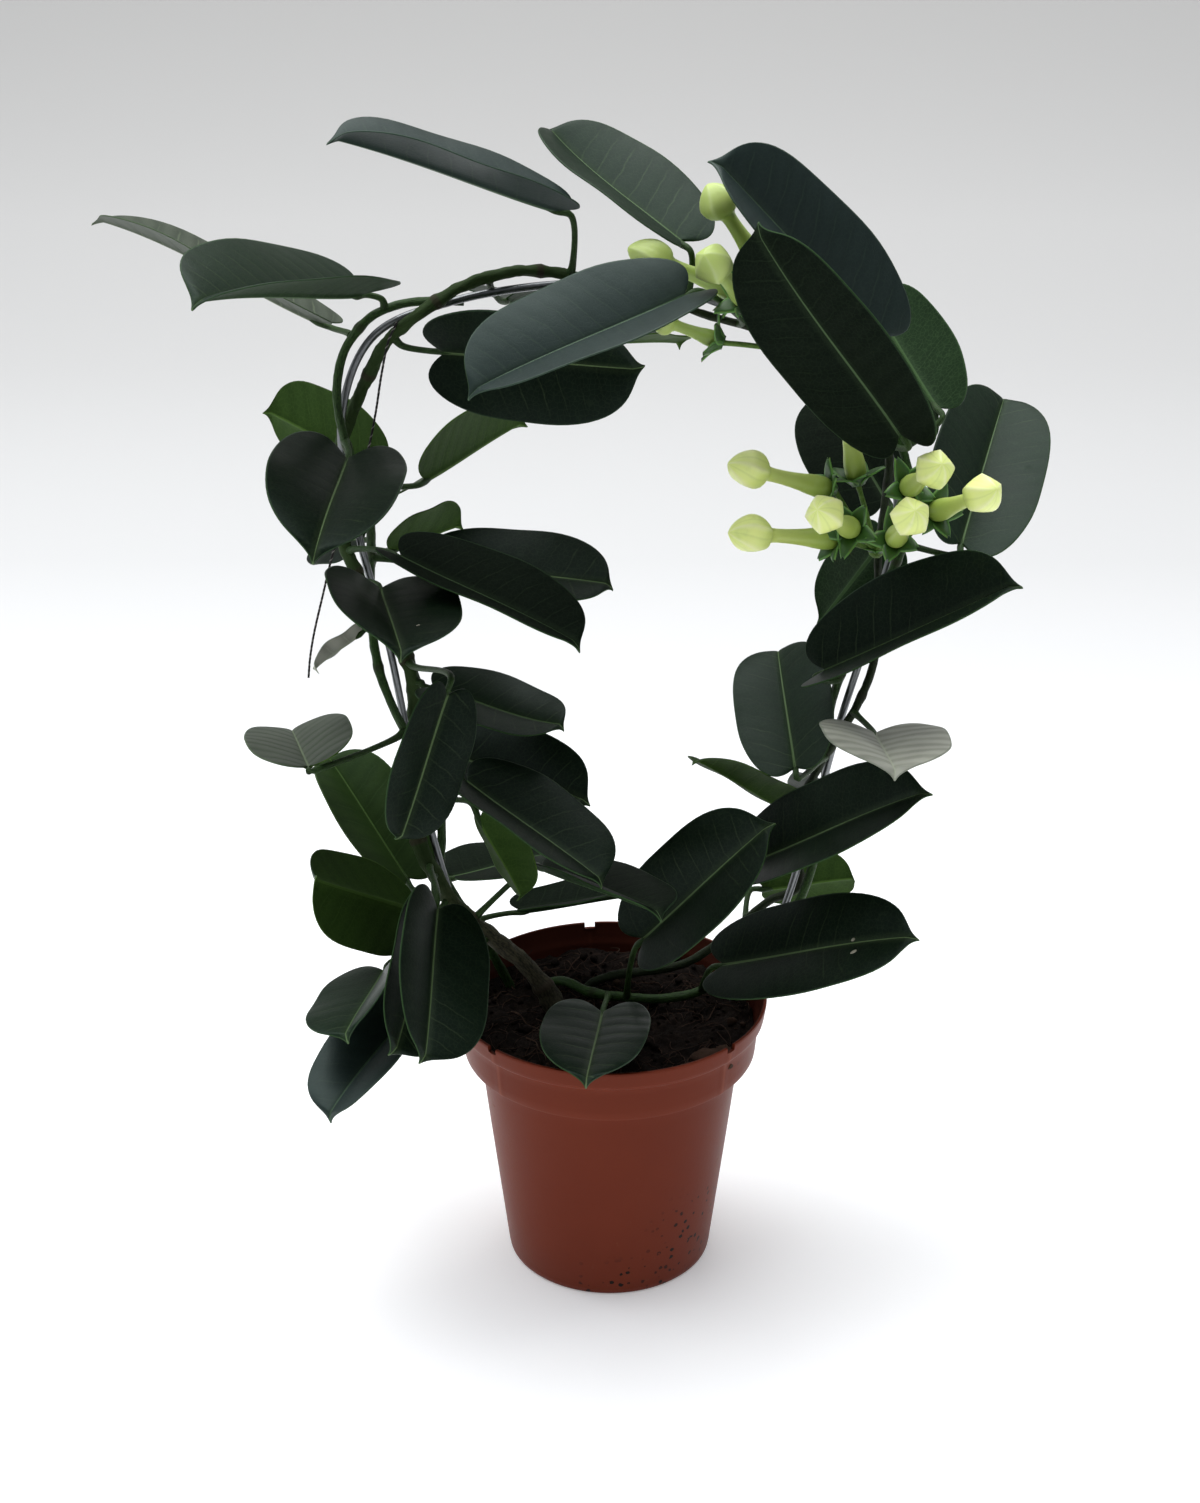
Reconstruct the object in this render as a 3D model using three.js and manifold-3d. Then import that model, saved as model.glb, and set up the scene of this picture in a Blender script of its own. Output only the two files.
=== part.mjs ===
// A madagascar jasmine grown round a wire hoop in a plastic pot.
// Millimetres, +Z up, +X to the right of the hoop, -Y towards its front.
// The origin is the centre of the pot's underside.

import * as THREE from 'three';
import Module from 'manifold-3d';

const wasm = await Module();
wasm.setup();

// ---------------------------------------------------------------- driving dimensions

const GAP = 0.3; // between neighbours that touch on the real plant

const POT_HEIGHT = 119.4;
const RIM_RADIUS = 65;
const RIM_LIP_HEIGHT = 8.5;
const BAND_HEIGHT = 24.3;
const BAND_RADIUS = 62;
const BAND_FOOT_RADIUS = 60.5;
const WALL_TOP_RADIUS = 54.3;
const BASE_RADIUS = 43;
const POT_WALL = 1.8;
const POT_FLOOR = 2.4;
const POT_SIDES = 32;
const NOTCH_ANGLES = [98, 224, 318];
const NOTCH_WIDTH = 4.5;
const NOTCH_DEPTH = 2.6;
const DRAIN_RADIUS = 4;
const DRAIN_CIRCLE = 30;
const DRAIN_COUNT = 6;

const SOIL_TOP = 109;
const SOIL_RELIEF = 0.9;

const HOOP_RADIUS = 1.5;
const HOOP_Y = 15;
const HOOP_STEPS = 44;
const VINE_STEP = 9;

const THREAD_RADIUS = 0.5;

const LEAF_THICKNESS = 1.1;
const LEAF_ARCH = 1.5;
const LEAF_LOBE = 0.08; // how far the blade runs back beside its stalk, as a share of its length
const LOBE_FADE = 8; // how soon along the blade its two lobes end
const ARCH_PEAK = 6.75; // makes the arch's highest point, two thirds along, as high as it says
const PETIOLE_RADIUS = 1.2;
const PETIOLE_LENGTH = 13;
const PETIOLE_SINK = 3; // how far a stalk runs on under the blade
const PETIOLE_BEND = 6; // how far behind the blade its stalk has come into line with it
const SPROUT_RISE = 2.5; // how far any stalk leaves its vine squarely

const BUD_SIDES = 5;
const SMALL_BUD_GIRTH = 1.2; // girth of a short bud against its length's share of a whole one's
const BUD_SINK = 3; // how far the bud's own stalk runs up into it
const HUB_RADIUS = 3;
const PEDICEL_RADIUS = 1.1;
const PEDUNCLE_RADIUS = 1.6;

// ---------------------------------------------------------------- materials

const finish = (color, roughness, metalness = 0) =>
  new THREE.MeshStandardMaterial({ color, roughness, metalness, side: THREE.DoubleSide });

const materials = {
  pot: finish('#8f4230', 0.5),
  soil: finish('#2a1c14', 0.95),
  wire: finish('#8d9290', 0.35, 0.8),
  thread: finish('#3b2f2a', 0.9),
  bark: finish('#4b4433', 0.8),
  shoot: finish('#39502a', 0.6),
  leaf: finish('#1d3324', 0.4),
  bud: finish('#c9d68e', 0.5),
};

// ---------------------------------------------------------------- solids

const vec = (p) => new THREE.Vector3(...p);

function solidFromGeometry(geometry) {
  const position = geometry.getAttribute('position');
  const mesh = new wasm.Mesh({
    numProp: 3,
    vertProperties: new Float32Array(position.array),
    triVerts: new Uint32Array(geometry.index.array),
  });
  mesh.merge();
  return new wasm.Manifold(mesh);
}

function geometryFromSolid(solid) {
  const mesh = solid.getMesh();
  const geometry = new THREE.BufferGeometry();
  geometry.setAttribute('position', new THREE.BufferAttribute(mesh.vertProperties, 3));
  geometry.setIndex(new THREE.BufferAttribute(mesh.triVerts, 1));
  geometry.computeVertexNormals();
  return geometry;
}

// A closed skin over rings of points, all rings with the same number of points.
// Each end is closed by a fan from its ring's first point.
function skinOfRings(rings) {
  const sides = rings[0].length;
  const index = [];
  for (let i = 0; i < rings.length - 1; i++) {
    for (let j = 0; j < sides; j++) {
      const a = i * sides + j;
      const b = i * sides + (j + 1) % sides;
      index.push(a, b, a + sides, b, b + sides, a + sides);
    }
  }
  const last = (rings.length - 1) * sides;
  for (let j = 1; j < sides - 1; j++) {
    index.push(0, j + 1, j);
    index.push(last, last + j, last + j + 1);
  }
  const geometry = new THREE.BufferGeometry();
  const points = rings.flat().flatMap((p) => [p.x, p.y, p.z]);
  geometry.setAttribute('position', new THREE.Float32BufferAttribute(points, 3));
  geometry.setIndex(index);
  return geometry;
}

// A round rod along a curve, whose radius may change along it.
function rod(curve, radiusAt, sides, steps) {
  const frames = curve.computeFrenetFrames(steps, false);
  const rings = [];
  for (let i = 0; i <= steps; i++) {
    const centre = curve.getPointAt(i / steps);
    const ring = [];
    for (let j = 0; j < sides; j++) {
      const angle = (j / sides) * Math.PI * 2;
      const out = frames.normals[i].clone().multiplyScalar(Math.cos(angle));
      out.addScaledVector(frames.binormals[i], Math.sin(angle));
      ring.push(centre.clone().addScaledVector(out, radiusAt(i / steps)));
    }
    rings.push(ring);
  }
  return skinOfRings(rings);
}

// A turned body: profile points are [radius, height] from the axis round to the axis.
function turned(profile, sides) {
  const points = profile.map(([radius, height]) => new THREE.Vector2(radius, height));
  const lathe = new THREE.LatheGeometry(points, sides);
  lathe.rotateX(Math.PI / 2);
  return solidFromGeometry(lathe);
}

const group = new THREE.Group();

function addPart(name, solid, material) {
  const mesh = new THREE.Mesh(geometryFromSolid(solid), materials[material]);
  mesh.name = name;
  group.add(mesh);
}

// ---------------------------------------------------------------- wire hoop

// The wire rises from the soil, bows out to both sides and closes in an arch.
const HOOP_ROUTE = [
  [-34, 48], [-56, 118], [-69, 168], [-80, 220], [-88, 270], [-97, 310], [-102, 358],
  [-89, 389], [-60, 402], [-11, 409], [30, 405], [70, 386], [100, 357], [110, 325],
  [105, 287], [92, 235], [82, 190], [69, 142], [56, 118], [34, 48],
];
const hoopCurve = new THREE.CatmullRomCurve3(
  HOOP_ROUTE.map(([x, z]) => new THREE.Vector3(x, HOOP_Y, z)), false, 'centripetal');
const hoopSolid = solidFromGeometry(rod(hoopCurve, () => HOOP_RADIUS, 6, HOOP_STEPS));

// ---------------------------------------------------------------- vines

// A stretch of vine wound round the hoop between two shares of its length.
function wound(from, to, turns, startAngle, distance, count) {
  const points = [];
  for (let i = 0; i <= count; i++) {
    const share = from + ((to - from) * i) / count;
    const angle = THREE.MathUtils.degToRad(startAngle + (turns * 360 * i) / count);
    const point = hoopCurve.getPointAt(share);
    const tangent = hoopCurve.getTangentAt(share);
    const outward = new THREE.Vector3(-tangent.z, 0, tangent.x);
    point.addScaledVector(outward, Math.cos(angle) * distance);
    point.y += Math.sin(angle) * distance;
    points.push(point);
  }
  return points;
}

const VINES = {
  vine_left_old: {
    route: [
      vec([-16, -6, 84]), vec([-19, -3, 104]), vec([-27, 0, 121]), vec([-38, 3, 134]), vec([-52, 7, 144]),
      ...wound(0.125, 0.5, 2.6, 250, 6.2, 30),
    ],
    thick: 4.4,
    thin: 2,
    material: 'bark',
  },
  vine_left_young: {
    route: [
      vec([-35, 24, 84]), vec([-43, 26, 109]), vec([-55, 25, 134]),
      ...wound(0.14, 0.44, 2.1, 75, 6, 24),
    ],
    thick: 2.2,
    thin: 1.6,
    material: 'shoot',
  },
  vine_right_green: {
    route: [
      vec([-30, 26, 86]), vec([-28, 24, 108]), vec([-20, 16, 116]), vec([-8, 8, 115]), vec([6, 6, 114]),
      vec([24, 5, 114]), vec([38, 8, 116]), vec([52, 12, 124]), vec([68, 8, 141]),
      ...wound(0.885, 0.605, 1.5, 290, 5.6, 24),
    ],
    thick: 2.2,
    thin: 1.6,
    material: 'shoot',
  },
  vine_right_dark: {
    route: [
      vec([-11, 22, 86]), vec([-10, 20, 110]), vec([-1, 18, 117]), vec([14, 19, 119]), vec([32, 21, 122]),
      vec([48, 24, 132]), vec([66, 23, 150]),
      ...wound(0.865, 0.53, 2.5, 49, 5.6, 30),
    ],
    thick: 2,
    thin: 1.5,
    material: 'bark',
  },
};

for (const vine of Object.values(VINES)) {
  vine.curve = new THREE.CatmullRomCurve3(vine.route, false, 'centripetal');
  vine.radiusAt = (share) => THREE.MathUtils.lerp(vine.thick, vine.thin, Math.sqrt(share));
  vine.points = vine.curve.getSpacedPoints(300);
}

function vineSolid(vine, clearance = 0) {
  const steps = Math.round(vine.curve.getLength() / VINE_STEP);
  return solidFromGeometry(rod(vine.curve, (share) => vine.radiusAt(share) + clearance, 6, steps));
}

// The place on a vine nearest to a point.
function nearestOnVine(point) {
  let best = null;
  for (const vine of Object.values(VINES)) {
    vine.points.forEach((centre, i) => {
      const distance = centre.distanceTo(point);
      const radius = vine.radiusAt(i / (vine.points.length - 1));
      if (!best || distance - radius < best.distance) {
        const tangent = vine.curve.getTangentAt(i / (vine.points.length - 1));
        best = { distance: distance - radius, centre, radius, tangent };
      }
    });
  }
  return best;
}

// The first two points of a stalk that leaves a vine squarely, on the side of its goal.
function sprout(seat, goal) {
  const out = goal.clone().sub(seat.centre);
  out.addScaledVector(seat.tangent, -out.dot(seat.tangent)).normalize();
  const start = seat.centre.clone().addScaledVector(out, seat.radius + GAP);
  return [start, start.clone().addScaledVector(out, SPROUT_RISE)];
}

// ---------------------------------------------------------------- pot and soil

function potSolid() {
  const bandFoot = POT_HEIGHT - BAND_HEIGHT;
  const lipFoot = POT_HEIGHT - RIM_LIP_HEIGHT;
  const body = turned([
    [0, 0], [BASE_RADIUS - 1, 0], [BASE_RADIUS, 1],
    [WALL_TOP_RADIUS, bandFoot], [BAND_FOOT_RADIUS, bandFoot + 0.6],
    [BAND_RADIUS, lipFoot - 0.6], [RIM_RADIUS - 1.4, lipFoot + 0.6],
    [RIM_RADIUS, POT_HEIGHT - 0.8], [RIM_RADIUS - 0.8, POT_HEIGHT],
    [RIM_RADIUS - POT_WALL, POT_HEIGHT],
    [BAND_RADIUS - POT_WALL, lipFoot],
    [BAND_FOOT_RADIUS - POT_WALL, bandFoot + 3],
    [WALL_TOP_RADIUS - POT_WALL, bandFoot - 2],
    [BASE_RADIUS - POT_WALL, POT_FLOOR],
    [0, POT_FLOOR],
  ], POT_SIDES);
  const cuts = NOTCH_ANGLES.map((angle) => {
    const box = new THREE.BoxGeometry(12, NOTCH_WIDTH, NOTCH_DEPTH * 2);
    box.translate(RIM_RADIUS, 0, POT_HEIGHT);
    box.rotateZ(THREE.MathUtils.degToRad(angle));
    return solidFromGeometry(box);
  });
  for (let i = 0; i < DRAIN_COUNT; i++) {
    const hole = new THREE.CylinderGeometry(DRAIN_RADIUS, DRAIN_RADIUS, POT_FLOOR * 4, 10);
    hole.rotateX(Math.PI / 2);
    hole.translate(DRAIN_CIRCLE, 0, 0);
    hole.rotateZ(((i + 0.5) / DRAIN_COUNT) * Math.PI * 2);
    cuts.push(solidFromGeometry(hole));
  }
  return cuts.reduce((solid, cut) => solid.subtract(cut), body);
}

// Peat filling the pot, with a crumbly top and a plain hole for everything that stands in it.
function soilSolid() {
  const bandFoot = POT_HEIGHT - BAND_HEIGHT;
  const clear = POT_WALL + GAP;
  const outer = [
    [BASE_RADIUS - clear, POT_FLOOR + GAP],
    [WALL_TOP_RADIUS - clear, bandFoot - 2],
    [BAND_FOOT_RADIUS - clear, bandFoot + 3.4],
    [BAND_RADIUS - clear - 0.3, SOIL_TOP - 1.5],
  ];
  const top = [0.8, 0.55, 0.28].map((share) => [share * (BAND_RADIUS - clear), SOIL_TOP]);
  const lathe = new THREE.LatheGeometry(
    [[0, POT_FLOOR + GAP], ...outer, ...top, [0, SOIL_TOP]].map(([r, z]) => new THREE.Vector2(r, z)),
    POT_SIDES);
  lathe.rotateX(Math.PI / 2);
  const position = lathe.getAttribute('position');
  for (let i = 0; i < position.count; i++) {
    if (position.getZ(i) > SOIL_TOP - 0.1) {
      const x = position.getX(i);
      const y = position.getY(i);
      const bump = Math.sin(x * 0.21 + 1) * Math.cos(y * 0.17) + Math.sin(x * 0.09 - y * 0.13);
      position.setZ(i, SOIL_TOP + SOIL_RELIEF * bump * 0.5);
    }
  }
  let soil = solidFromGeometry(lathe);
  soil = soil.subtract(solidFromGeometry(rod(hoopCurve, () => HOOP_RADIUS + GAP, 6, HOOP_STEPS)));
  for (const vine of Object.values(VINES)) {
    soil = soil.subtract(vineSolid(vine, GAP));
  }
  return soil;
}

// ---------------------------------------------------------------- leaves

// Half width of the blade, as a share of its widest, at shares of its length.
const OUTLINE = [
  [0, 0.34], [0.05, 0.68], [0.17, 0.92], [0.42, 1], [0.68, 0.95], [0.87, 0.72], [0.95, 0.4], [1, 0.04],
];
const COLUMNS = [-1, 0, 1];

// The blade is folded along its midrib and arched along its length.
function bladeSolid({ base, tip, facing, width, fold, arch = LEAF_ARCH }) {
  const along = tip.clone().sub(base);
  const normal = facing.clone().addScaledVector(along, -facing.dot(along) / along.lengthSq());
  normal.normalize();
  const left = normal.clone().cross(along).normalize();
  const angle = THREE.MathUtils.degToRad(fold);
  const skinPoint = (share, halfWidth, column) => {
    const reach = (width / 2) * halfWidth * column;
    const lift = Math.abs(reach) * Math.sin(angle);
    const lobe = LEAF_LOBE * Math.abs(column) * (1 - share) ** LOBE_FADE;
    return base.clone()
      .addScaledVector(along, share - lobe)
      .addScaledVector(normal, arch * ARCH_PEAK * share ** 2 * (1 - share) + lift)
      .addScaledVector(left, reach * Math.cos(angle));
  };
  const grid = OUTLINE.map(([share, half]) => COLUMNS.map((column) => skinPoint(share, half, column)));
  const side = (point, way) => point.clone().addScaledVector(normal, way * LEAF_THICKNESS / 2);
  // Half the thickness is given back along each half's own slope, so that steep folds stay thick.
  const rings = grid.map((row) => {
    const sideways = (column) => Math.sign(column) * Math.sin(angle) * LEAF_THICKNESS / 2;
    const upper = row.map((p, i) => side(p, 1).addScaledVector(left, -sideways(COLUMNS[i])));
    const lower = row.map((p, i) => side(p, -1).addScaledVector(left, sideways(COLUMNS[i])));
    return [...upper, ...lower.reverse()];
  });
  return bladeFromRings(rings);
}

// Skins the blade with the same diagonals on its upper and lower faces.
function bladeFromRings(rings) {
  const columns = COLUMNS.length;
  const around = columns * 2;
  const index = [];
  const upper = (i, j) => i * around + j;
  const lower = (i, j) => i * around + (around - 1 - j);
  const last = rings.length - 1;
  for (let i = 0; i < last; i++) {
    for (let j = 0; j < columns - 1; j++) {
      index.push(upper(i, j), upper(i + 1, j), upper(i + 1, j + 1));
      index.push(upper(i, j), upper(i + 1, j + 1), upper(i, j + 1));
      index.push(lower(i, j), lower(i + 1, j + 1), lower(i + 1, j));
      index.push(lower(i, j), lower(i, j + 1), lower(i + 1, j + 1));
    }
    for (const [j, flip] of [[0, true], [columns - 1, false]]) {
      const quad = [upper(i, j), upper(i + 1, j), lower(i + 1, j), lower(i, j)];
      if (flip) quad.reverse();
      index.push(quad[0], quad[1], quad[2], quad[0], quad[2], quad[3]);
    }
  }
  for (let j = 0; j < columns - 1; j++) {
    index.push(upper(0, j), lower(0, j + 1), lower(0, j));
    index.push(upper(0, j), upper(0, j + 1), lower(0, j + 1));
    index.push(upper(last, j), lower(last, j), lower(last, j + 1));
    index.push(upper(last, j), lower(last, j + 1), upper(last, j + 1));
  }
  const geometry = new THREE.BufferGeometry();
  const points = rings.flat().flatMap((p) => [p.x, p.y, p.z]);
  geometry.setAttribute('position', new THREE.Float32BufferAttribute(points, 3));
  geometry.setIndex(index);
  return solidFromGeometry(geometry);
}

// The stalk springs from the nearest vine and runs into the blade under its midrib.
function petioleSolid({ base, tip, root }) {
  const along = tip.clone().sub(base).normalize();
  const hint = root ?? base.clone().addScaledVector(along, -PETIOLE_LENGTH);
  const seat = nearestOnVine(hint);
  const behind = base.clone().addScaledVector(along, -PETIOLE_BEND);
  const end = base.clone().addScaledVector(along, PETIOLE_SINK);
  const route = [...sprout(seat, behind), behind, base, end];
  const curve = new THREE.CatmullRomCurve3(route, false, 'centripetal');
  return solidFromGeometry(rod(curve, () => PETIOLE_RADIUS, 4, 4));
}

// Each leaf: blade base, blade tip, the way its upper side faces, width and fold,
// then any arch or root of its own. A root is the place from which the nearest vine is looked for.
const LEAVES = {
  leaf_01: [[-111, 30, 392], [-198, 49, 425], [0.4, 0.1, 0.9], 41, 15, { arch: 3.5 }],
  leaf_02: [[-93, 9, 406], [-139, -72, 417], [0.2, 0, 1], 55, 28, { arch: 2.5 }],
  leaf_03: [[-20, 2, 438], [-98, -22, 464], [0.3, 0, 0.9], 37, 32, { arch: 2 }],
  leaf_04: [[25, 12, 425], [-25, 51, 459], [0.3, -0.3, 0.9], 51, 22, { arch: -1, root: [27, 9, 401] }],
  leaf_05: [[99, 2, 392], [34, -14, 457], [0.6, -0.6, 0.5], 51, 24, { arch: 1 }],
  leaf_06: [[104, -26, 363], [50, -40, 440], [-0.5, -0.8, -0.3], 50, 10, { arch: 3 }],
  leaf_07: [[124, 20, 361], [101, 90, 392], [0.8, 0.4, -0.4], 40, 19],
  leaf_08: [[134, 5, 312], [160, 84, 349], [0.3, -0.4, 0.9], 50, 25, { arch: 0.5 }],
  leaf_09: [[108, 36, 321], [88, 94, 349], [-0.6, -0.6, 0.6], 42, 18],
  leaf_10: [[106, 24, 306], [85, 50, 264], [0.6, 0.8, 0.1], 34, 18],
  leaf_11: [[84, 0, 262], [150, -38, 309], [-0.7, -0.3, 0.7], 50, 34, { arch: 1 }],
  leaf_12: [[72, -14, 227], [70, 56, 249], [-0.3, -0.3, 0.9], 42, 19, { arch: 2.5 }],
  leaf_13: [[76, 7, 197], [32, -13, 228], [0.5, 0.6, 0.7], 42, 10, { root: [78, 16, 197] }],
  leaf_14: [[102, -16, 242], [102, -78, 250], [0.05, 0, 1], 50, 16],
  leaf_15: [[59, -14, 187], [118, -62, 237], [-0.8, -0.3, 0.5], 41, 26, { arch: 2.5 }],
  leaf_16: [[66, 40, 148], [103, 30, 156], [-0.1, 0.9, 0.3], 34, 12],
  leaf_17: [[46, -16, 141], [116, -66, 179], [-0.6, -0.4, 0.7], 43, 14, { arch: 3 }],
  leaf_18: [[14, -14, 152], [63, -36, 213], [-0.6, -0.7, 0.4], 45, 22, { arch: 2 }],
  leaf_19: [[-28, 4, 175], [19, -74, 191], [0.2, 0.1, 1], 41, 20],
  leaf_20: [[-67, -40, 178], [-70, -98, 144], [0.7, -0.5, 0.5], 48, 20],
  leaf_21: [[-71, -24, 169], [-83, -82, 138], [0.8, -0.4, 0.4], 44, 16],
  leaf_22: [[-90, -27, 144], [-99, -78, 141], [-0.5, 0, 0.9], 44, 20, { root: [-60, 8, 152] }],
  leaf_23: [[-77, -34, 133], [-107, -80, 107], [-0.4, -0.3, 0.9], 41, 20, { arch: 2.5, root: [-50, 6, 143] }],
  leaf_24: [[-79, -10, 162], [-113, -42, 193], [-0.7, 0.4, -0.6], 44, 18],
  leaf_25: [[-84, 16, 164], [-121, 58, 200], [0.1, -0.2, 1], 42, 28],
  leaf_26: [[-114, -38, 237], [-130, 30, 222], [-0.1, 0, 1], 44, 20, { root: [-84, 12, 232] }],
  leaf_27: [[-60, -50, 271], [-79, -68, 221], [0.7, -0.7, 0.1], 36, 12, { root: [-79, 16, 262] }],
  leaf_28: [[-70, 12, 250], [-18, -8, 240], [0.1, -0.2, 1], 39, 10, { arch: -1 }],
  leaf_29: [[-62, 22, 216], [-8, -19, 213], [-0.4, -0.4, 0.8], 40, 20, { arch: 2 }],
  leaf_30: [[-55, -29, 227], [-3, -65, 200], [0.4, -0.2, 0.9], 47, 22, { root: [-72, 14, 208] }],
  leaf_31: [[-51, -16, 206], [-36, -30, 177], [0.8, 0.6, 0.2], 38, 14, { root: [-71, 15, 203] }],
  leaf_32: [[-67, 50, 148], [-28, 84, 140], [0, 0.1, 1], 44, 10],
  leaf_33: [[-37, 28, 143], [18, 40, 143], [0, 0.2, 1], 36, 18],
  leaf_34: [[-98, -7, 348], [-102, -82, 332], [0.2, -0.2, 1], 53, 25, { arch: 4.5 }],
  leaf_35: [[-92, 34, 334], [-138, 56, 350], [0.4, 0.8, 0.2], 42, 10],
  leaf_36: [[-72, 22, 332], [-35, 90, 336], [-0.7, 0.4, 0.6], 44, 23],
  leaf_37: [[-88, 36, 299], [-60, 58, 301], [-0.3, 0.5, 0.7], 36, 20],
  leaf_38: [[-98, 29, 306], [-118, 54, 295], [-0.7, -0.2, 0.6], 27, 12],
  leaf_39: [[-87, -12, 299], [-73, -84, 297], [0.2, 0, 1], 53, 22],
  leaf_40: [[-68, 18, 299], [1, 6, 293], [0, -0.4, 0.9], 42, 14],
  leaf_41: [[-79, -10, 311], [-11, -55, 290], [0.2, -0.2, 0.9], 42, 25, { arch: 2 }],
  leaf_42: [[26, -19, 411], [-48, -73, 387], [0, -0.4, 0.9], 48, 27, { arch: 2, root: [53, 5, 401] }],
  leaf_43: [[-62, 7, 385], [12, -20, 386], [-0.4, -0.9, -0.2], 46, 20],
  leaf_44: [[-4, 34, 384], [27, 56, 376], [0.2, 0.2, 1], 37, 14],
  leaf_45: [[-3, -20, 121], [-9, -80, 123], [0, 0, 1], 45, 18],
  leaf_46: [[-97, 3, 277], [-112, -14, 266], [-0.6, 0.5, 0.6], 15, 14],
  leaf_47: [[-40, 30, 400], [-20, 88, 385], [0, 0.4, 0.9], 44, 18],
  leaf_48: [[75, 30, 380], [60, 88, 388], [0, 0.3, 0.9], 44, 18],
  leaf_49: [[92, 30, 188], [98, 84, 174], [0.1, 0.3, 0.9], 42, 18],
};

for (const [name, [base, tip, facing, width, fold, own = {}]] of Object.entries(LEAVES)) {
  const leaf = { base: vec(base), tip: vec(tip), facing: vec(facing), width, fold, ...own };
  if (leaf.root) leaf.root = vec(leaf.root);
  addPart(name, bladeSolid(leaf).add(petioleSolid(leaf)), 'leaf');
}

// ---------------------------------------------------------------- buds

// [radius, height] of a bud from its calyx to its tip, with five blunt ridges round it.
const BUD_PROFILE = [
  [0, 0], [4, 0.5], [3.6, 7], [2.7, 15], [2.6, 26], [5.8, 29], [7.4, 34], [6, 39], [0, 43.5],
];
const BUD_LENGTH = 43.5;
const SEPAL_REACH = 6;
const SEPAL_HEIGHT = 6.5;
const SEPAL_NOTCH = 3.2;

// Sets a body that was made upright at the origin onto a point, pointing another way.
function aim(geometry, from, to) {
  const way = to.clone().sub(from).normalize();
  geometry.applyQuaternion(new THREE.Quaternion().setFromUnitVectors(new THREE.Vector3(0, 0, 1), way));
  geometry.translate(from.x, from.y, from.z);
  return solidFromGeometry(geometry);
}

function budGeometry(length) {
  const stretch = length / BUD_LENGTH;
  const girth = Math.min(1, stretch * SMALL_BUD_GIRTH);
  const profile = BUD_PROFILE.map(([radius, height]) => new THREE.Vector2(radius * girth, height * stretch));
  return new THREE.LatheGeometry(profile, BUD_SIDES).rotateX(Math.PI / 2);
}

// The calyx is a low cup that runs out into five sepals round the foot of the bud.
function calyxGeometry() {
  const points = [[0, -2], [2.4, -1.4], [SEPAL_REACH, SEPAL_HEIGHT], [2.6, 3], [0, 3]];
  const cup = new THREE.LatheGeometry(points.map((p) => new THREE.Vector2(...p)), 10);
  cup.rotateX(Math.PI / 2);
  const position = cup.getAttribute('position');
  for (let i = 0; i < position.count; i++) {
    const radius = Math.hypot(position.getX(i), position.getY(i));
    const side = Math.floor((Math.atan2(position.getY(i), position.getX(i)) / Math.PI) * 5);
    if (radius > SEPAL_REACH - 1 && side % 2) {
      const shrink = SEPAL_NOTCH / radius;
      position.setXYZ(i, position.getX(i) * shrink, position.getY(i) * shrink, SEPAL_HEIGHT / 2);
    }
  }
  return cup;
}

function umbelSolid({ hub, root, buds }) {
  const centre = vec(hub);
  const seat = nearestOnVine(vec(root));
  const peduncle = new THREE.CatmullRomCurve3([...sprout(seat, centre), centre], false, 'centripetal');
  const solids = [
    solidFromGeometry(rod(peduncle, () => PEDUNCLE_RADIUS, 6, 3)),
    solidFromGeometry(new THREE.SphereGeometry(HUB_RADIUS, 6, 4).translate(...hub)),
  ];
  for (const [calyxPoint, tipPoint] of buds) {
    const calyx = vec(calyxPoint);
    const tip = vec(tipPoint);
    const sunk = calyx.clone().addScaledVector(tip.clone().sub(calyx).normalize(), BUD_SINK);
    const stalk = new THREE.CatmullRomCurve3([centre, centre.clone().lerp(calyx, 0.6), calyx, sunk]);
    solids.push(solidFromGeometry(rod(stalk, () => PEDICEL_RADIUS, 5, 3)));
    solids.push(aim(budGeometry(calyx.distanceTo(tip)), calyx, tip));
    solids.push(aim(calyxGeometry(), calyx, tip));
  }
  return solids.reduce((sum, solid) => sum.add(solid));
}

// Each cluster: its hub, the place from which its vine is looked for, and its buds, each given by
// the point where its calyx sits and the point of its head.
const UMBELS = {
  umbel_right: {
    hub: [101, 0, 311],
    root: [101, 10, 311],
    buds: [
      [[83, -1, 335], [43, -16, 349]], [[85, -12, 319], [43, -30, 327]],
      [[90, -16, 324], [73, -51, 342]], [[110, -10, 338], [117, -45, 357]],
      [[120, -11, 329], [137, -45, 348]], [[105, -19, 321], [107, -55, 343]],
      [[93, 3, 337], [84, 1, 378]],
    ],
  },
  umbel_top: {
    hub: [60, 1, 388],
    root: [85, 12, 380],
    buds: [
      [[55, 2, 417], [34, 0, 447]], [[48, 5, 407], [6, -2, 425]], [[49, -6, 407], [32, -32, 428]],
      [[40, -2, 391], [14, 1, 400]], [[52, 10, 409], [36, 14, 420]],
    ],
  },
};

for (const [name, umbel] of Object.entries(UMBELS)) {
  addPart(name, umbelSolid(umbel), 'bud');
}

// ---------------------------------------------------------------- tie thread

// A limp end of twisted thread hangs from the shoulder of the hoop.
const THREAD_ROUTE = [
  [-79, 8, 396], [-82, 6, 390], [-85, 5, 378], [-88, 4, 362], [-92, 3, 346], [-99, 2, 329],
  [-106, 2, 309], [-111, 2, 291], [-115, 2, 276], [-117, 2, 266], [-118, 2, 258],
];
const threadCurve = new THREE.CatmullRomCurve3(THREAD_ROUTE.map(vec), false, 'centripetal');
addPart('tie_thread', solidFromGeometry(rod(threadCurve, () => THREAD_RADIUS, 8, 16)), 'thread');

// ---------------------------------------------------------------- assembly

addPart('pot', potSolid(), 'pot');
addPart('soil', soilSolid(), 'soil');
addPart('hoop', hoopSolid, 'wire');
for (const [name, vine] of Object.entries(VINES)) {
  addPart(name, vineSolid(vine), vine.material);
}

export default group;
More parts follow.
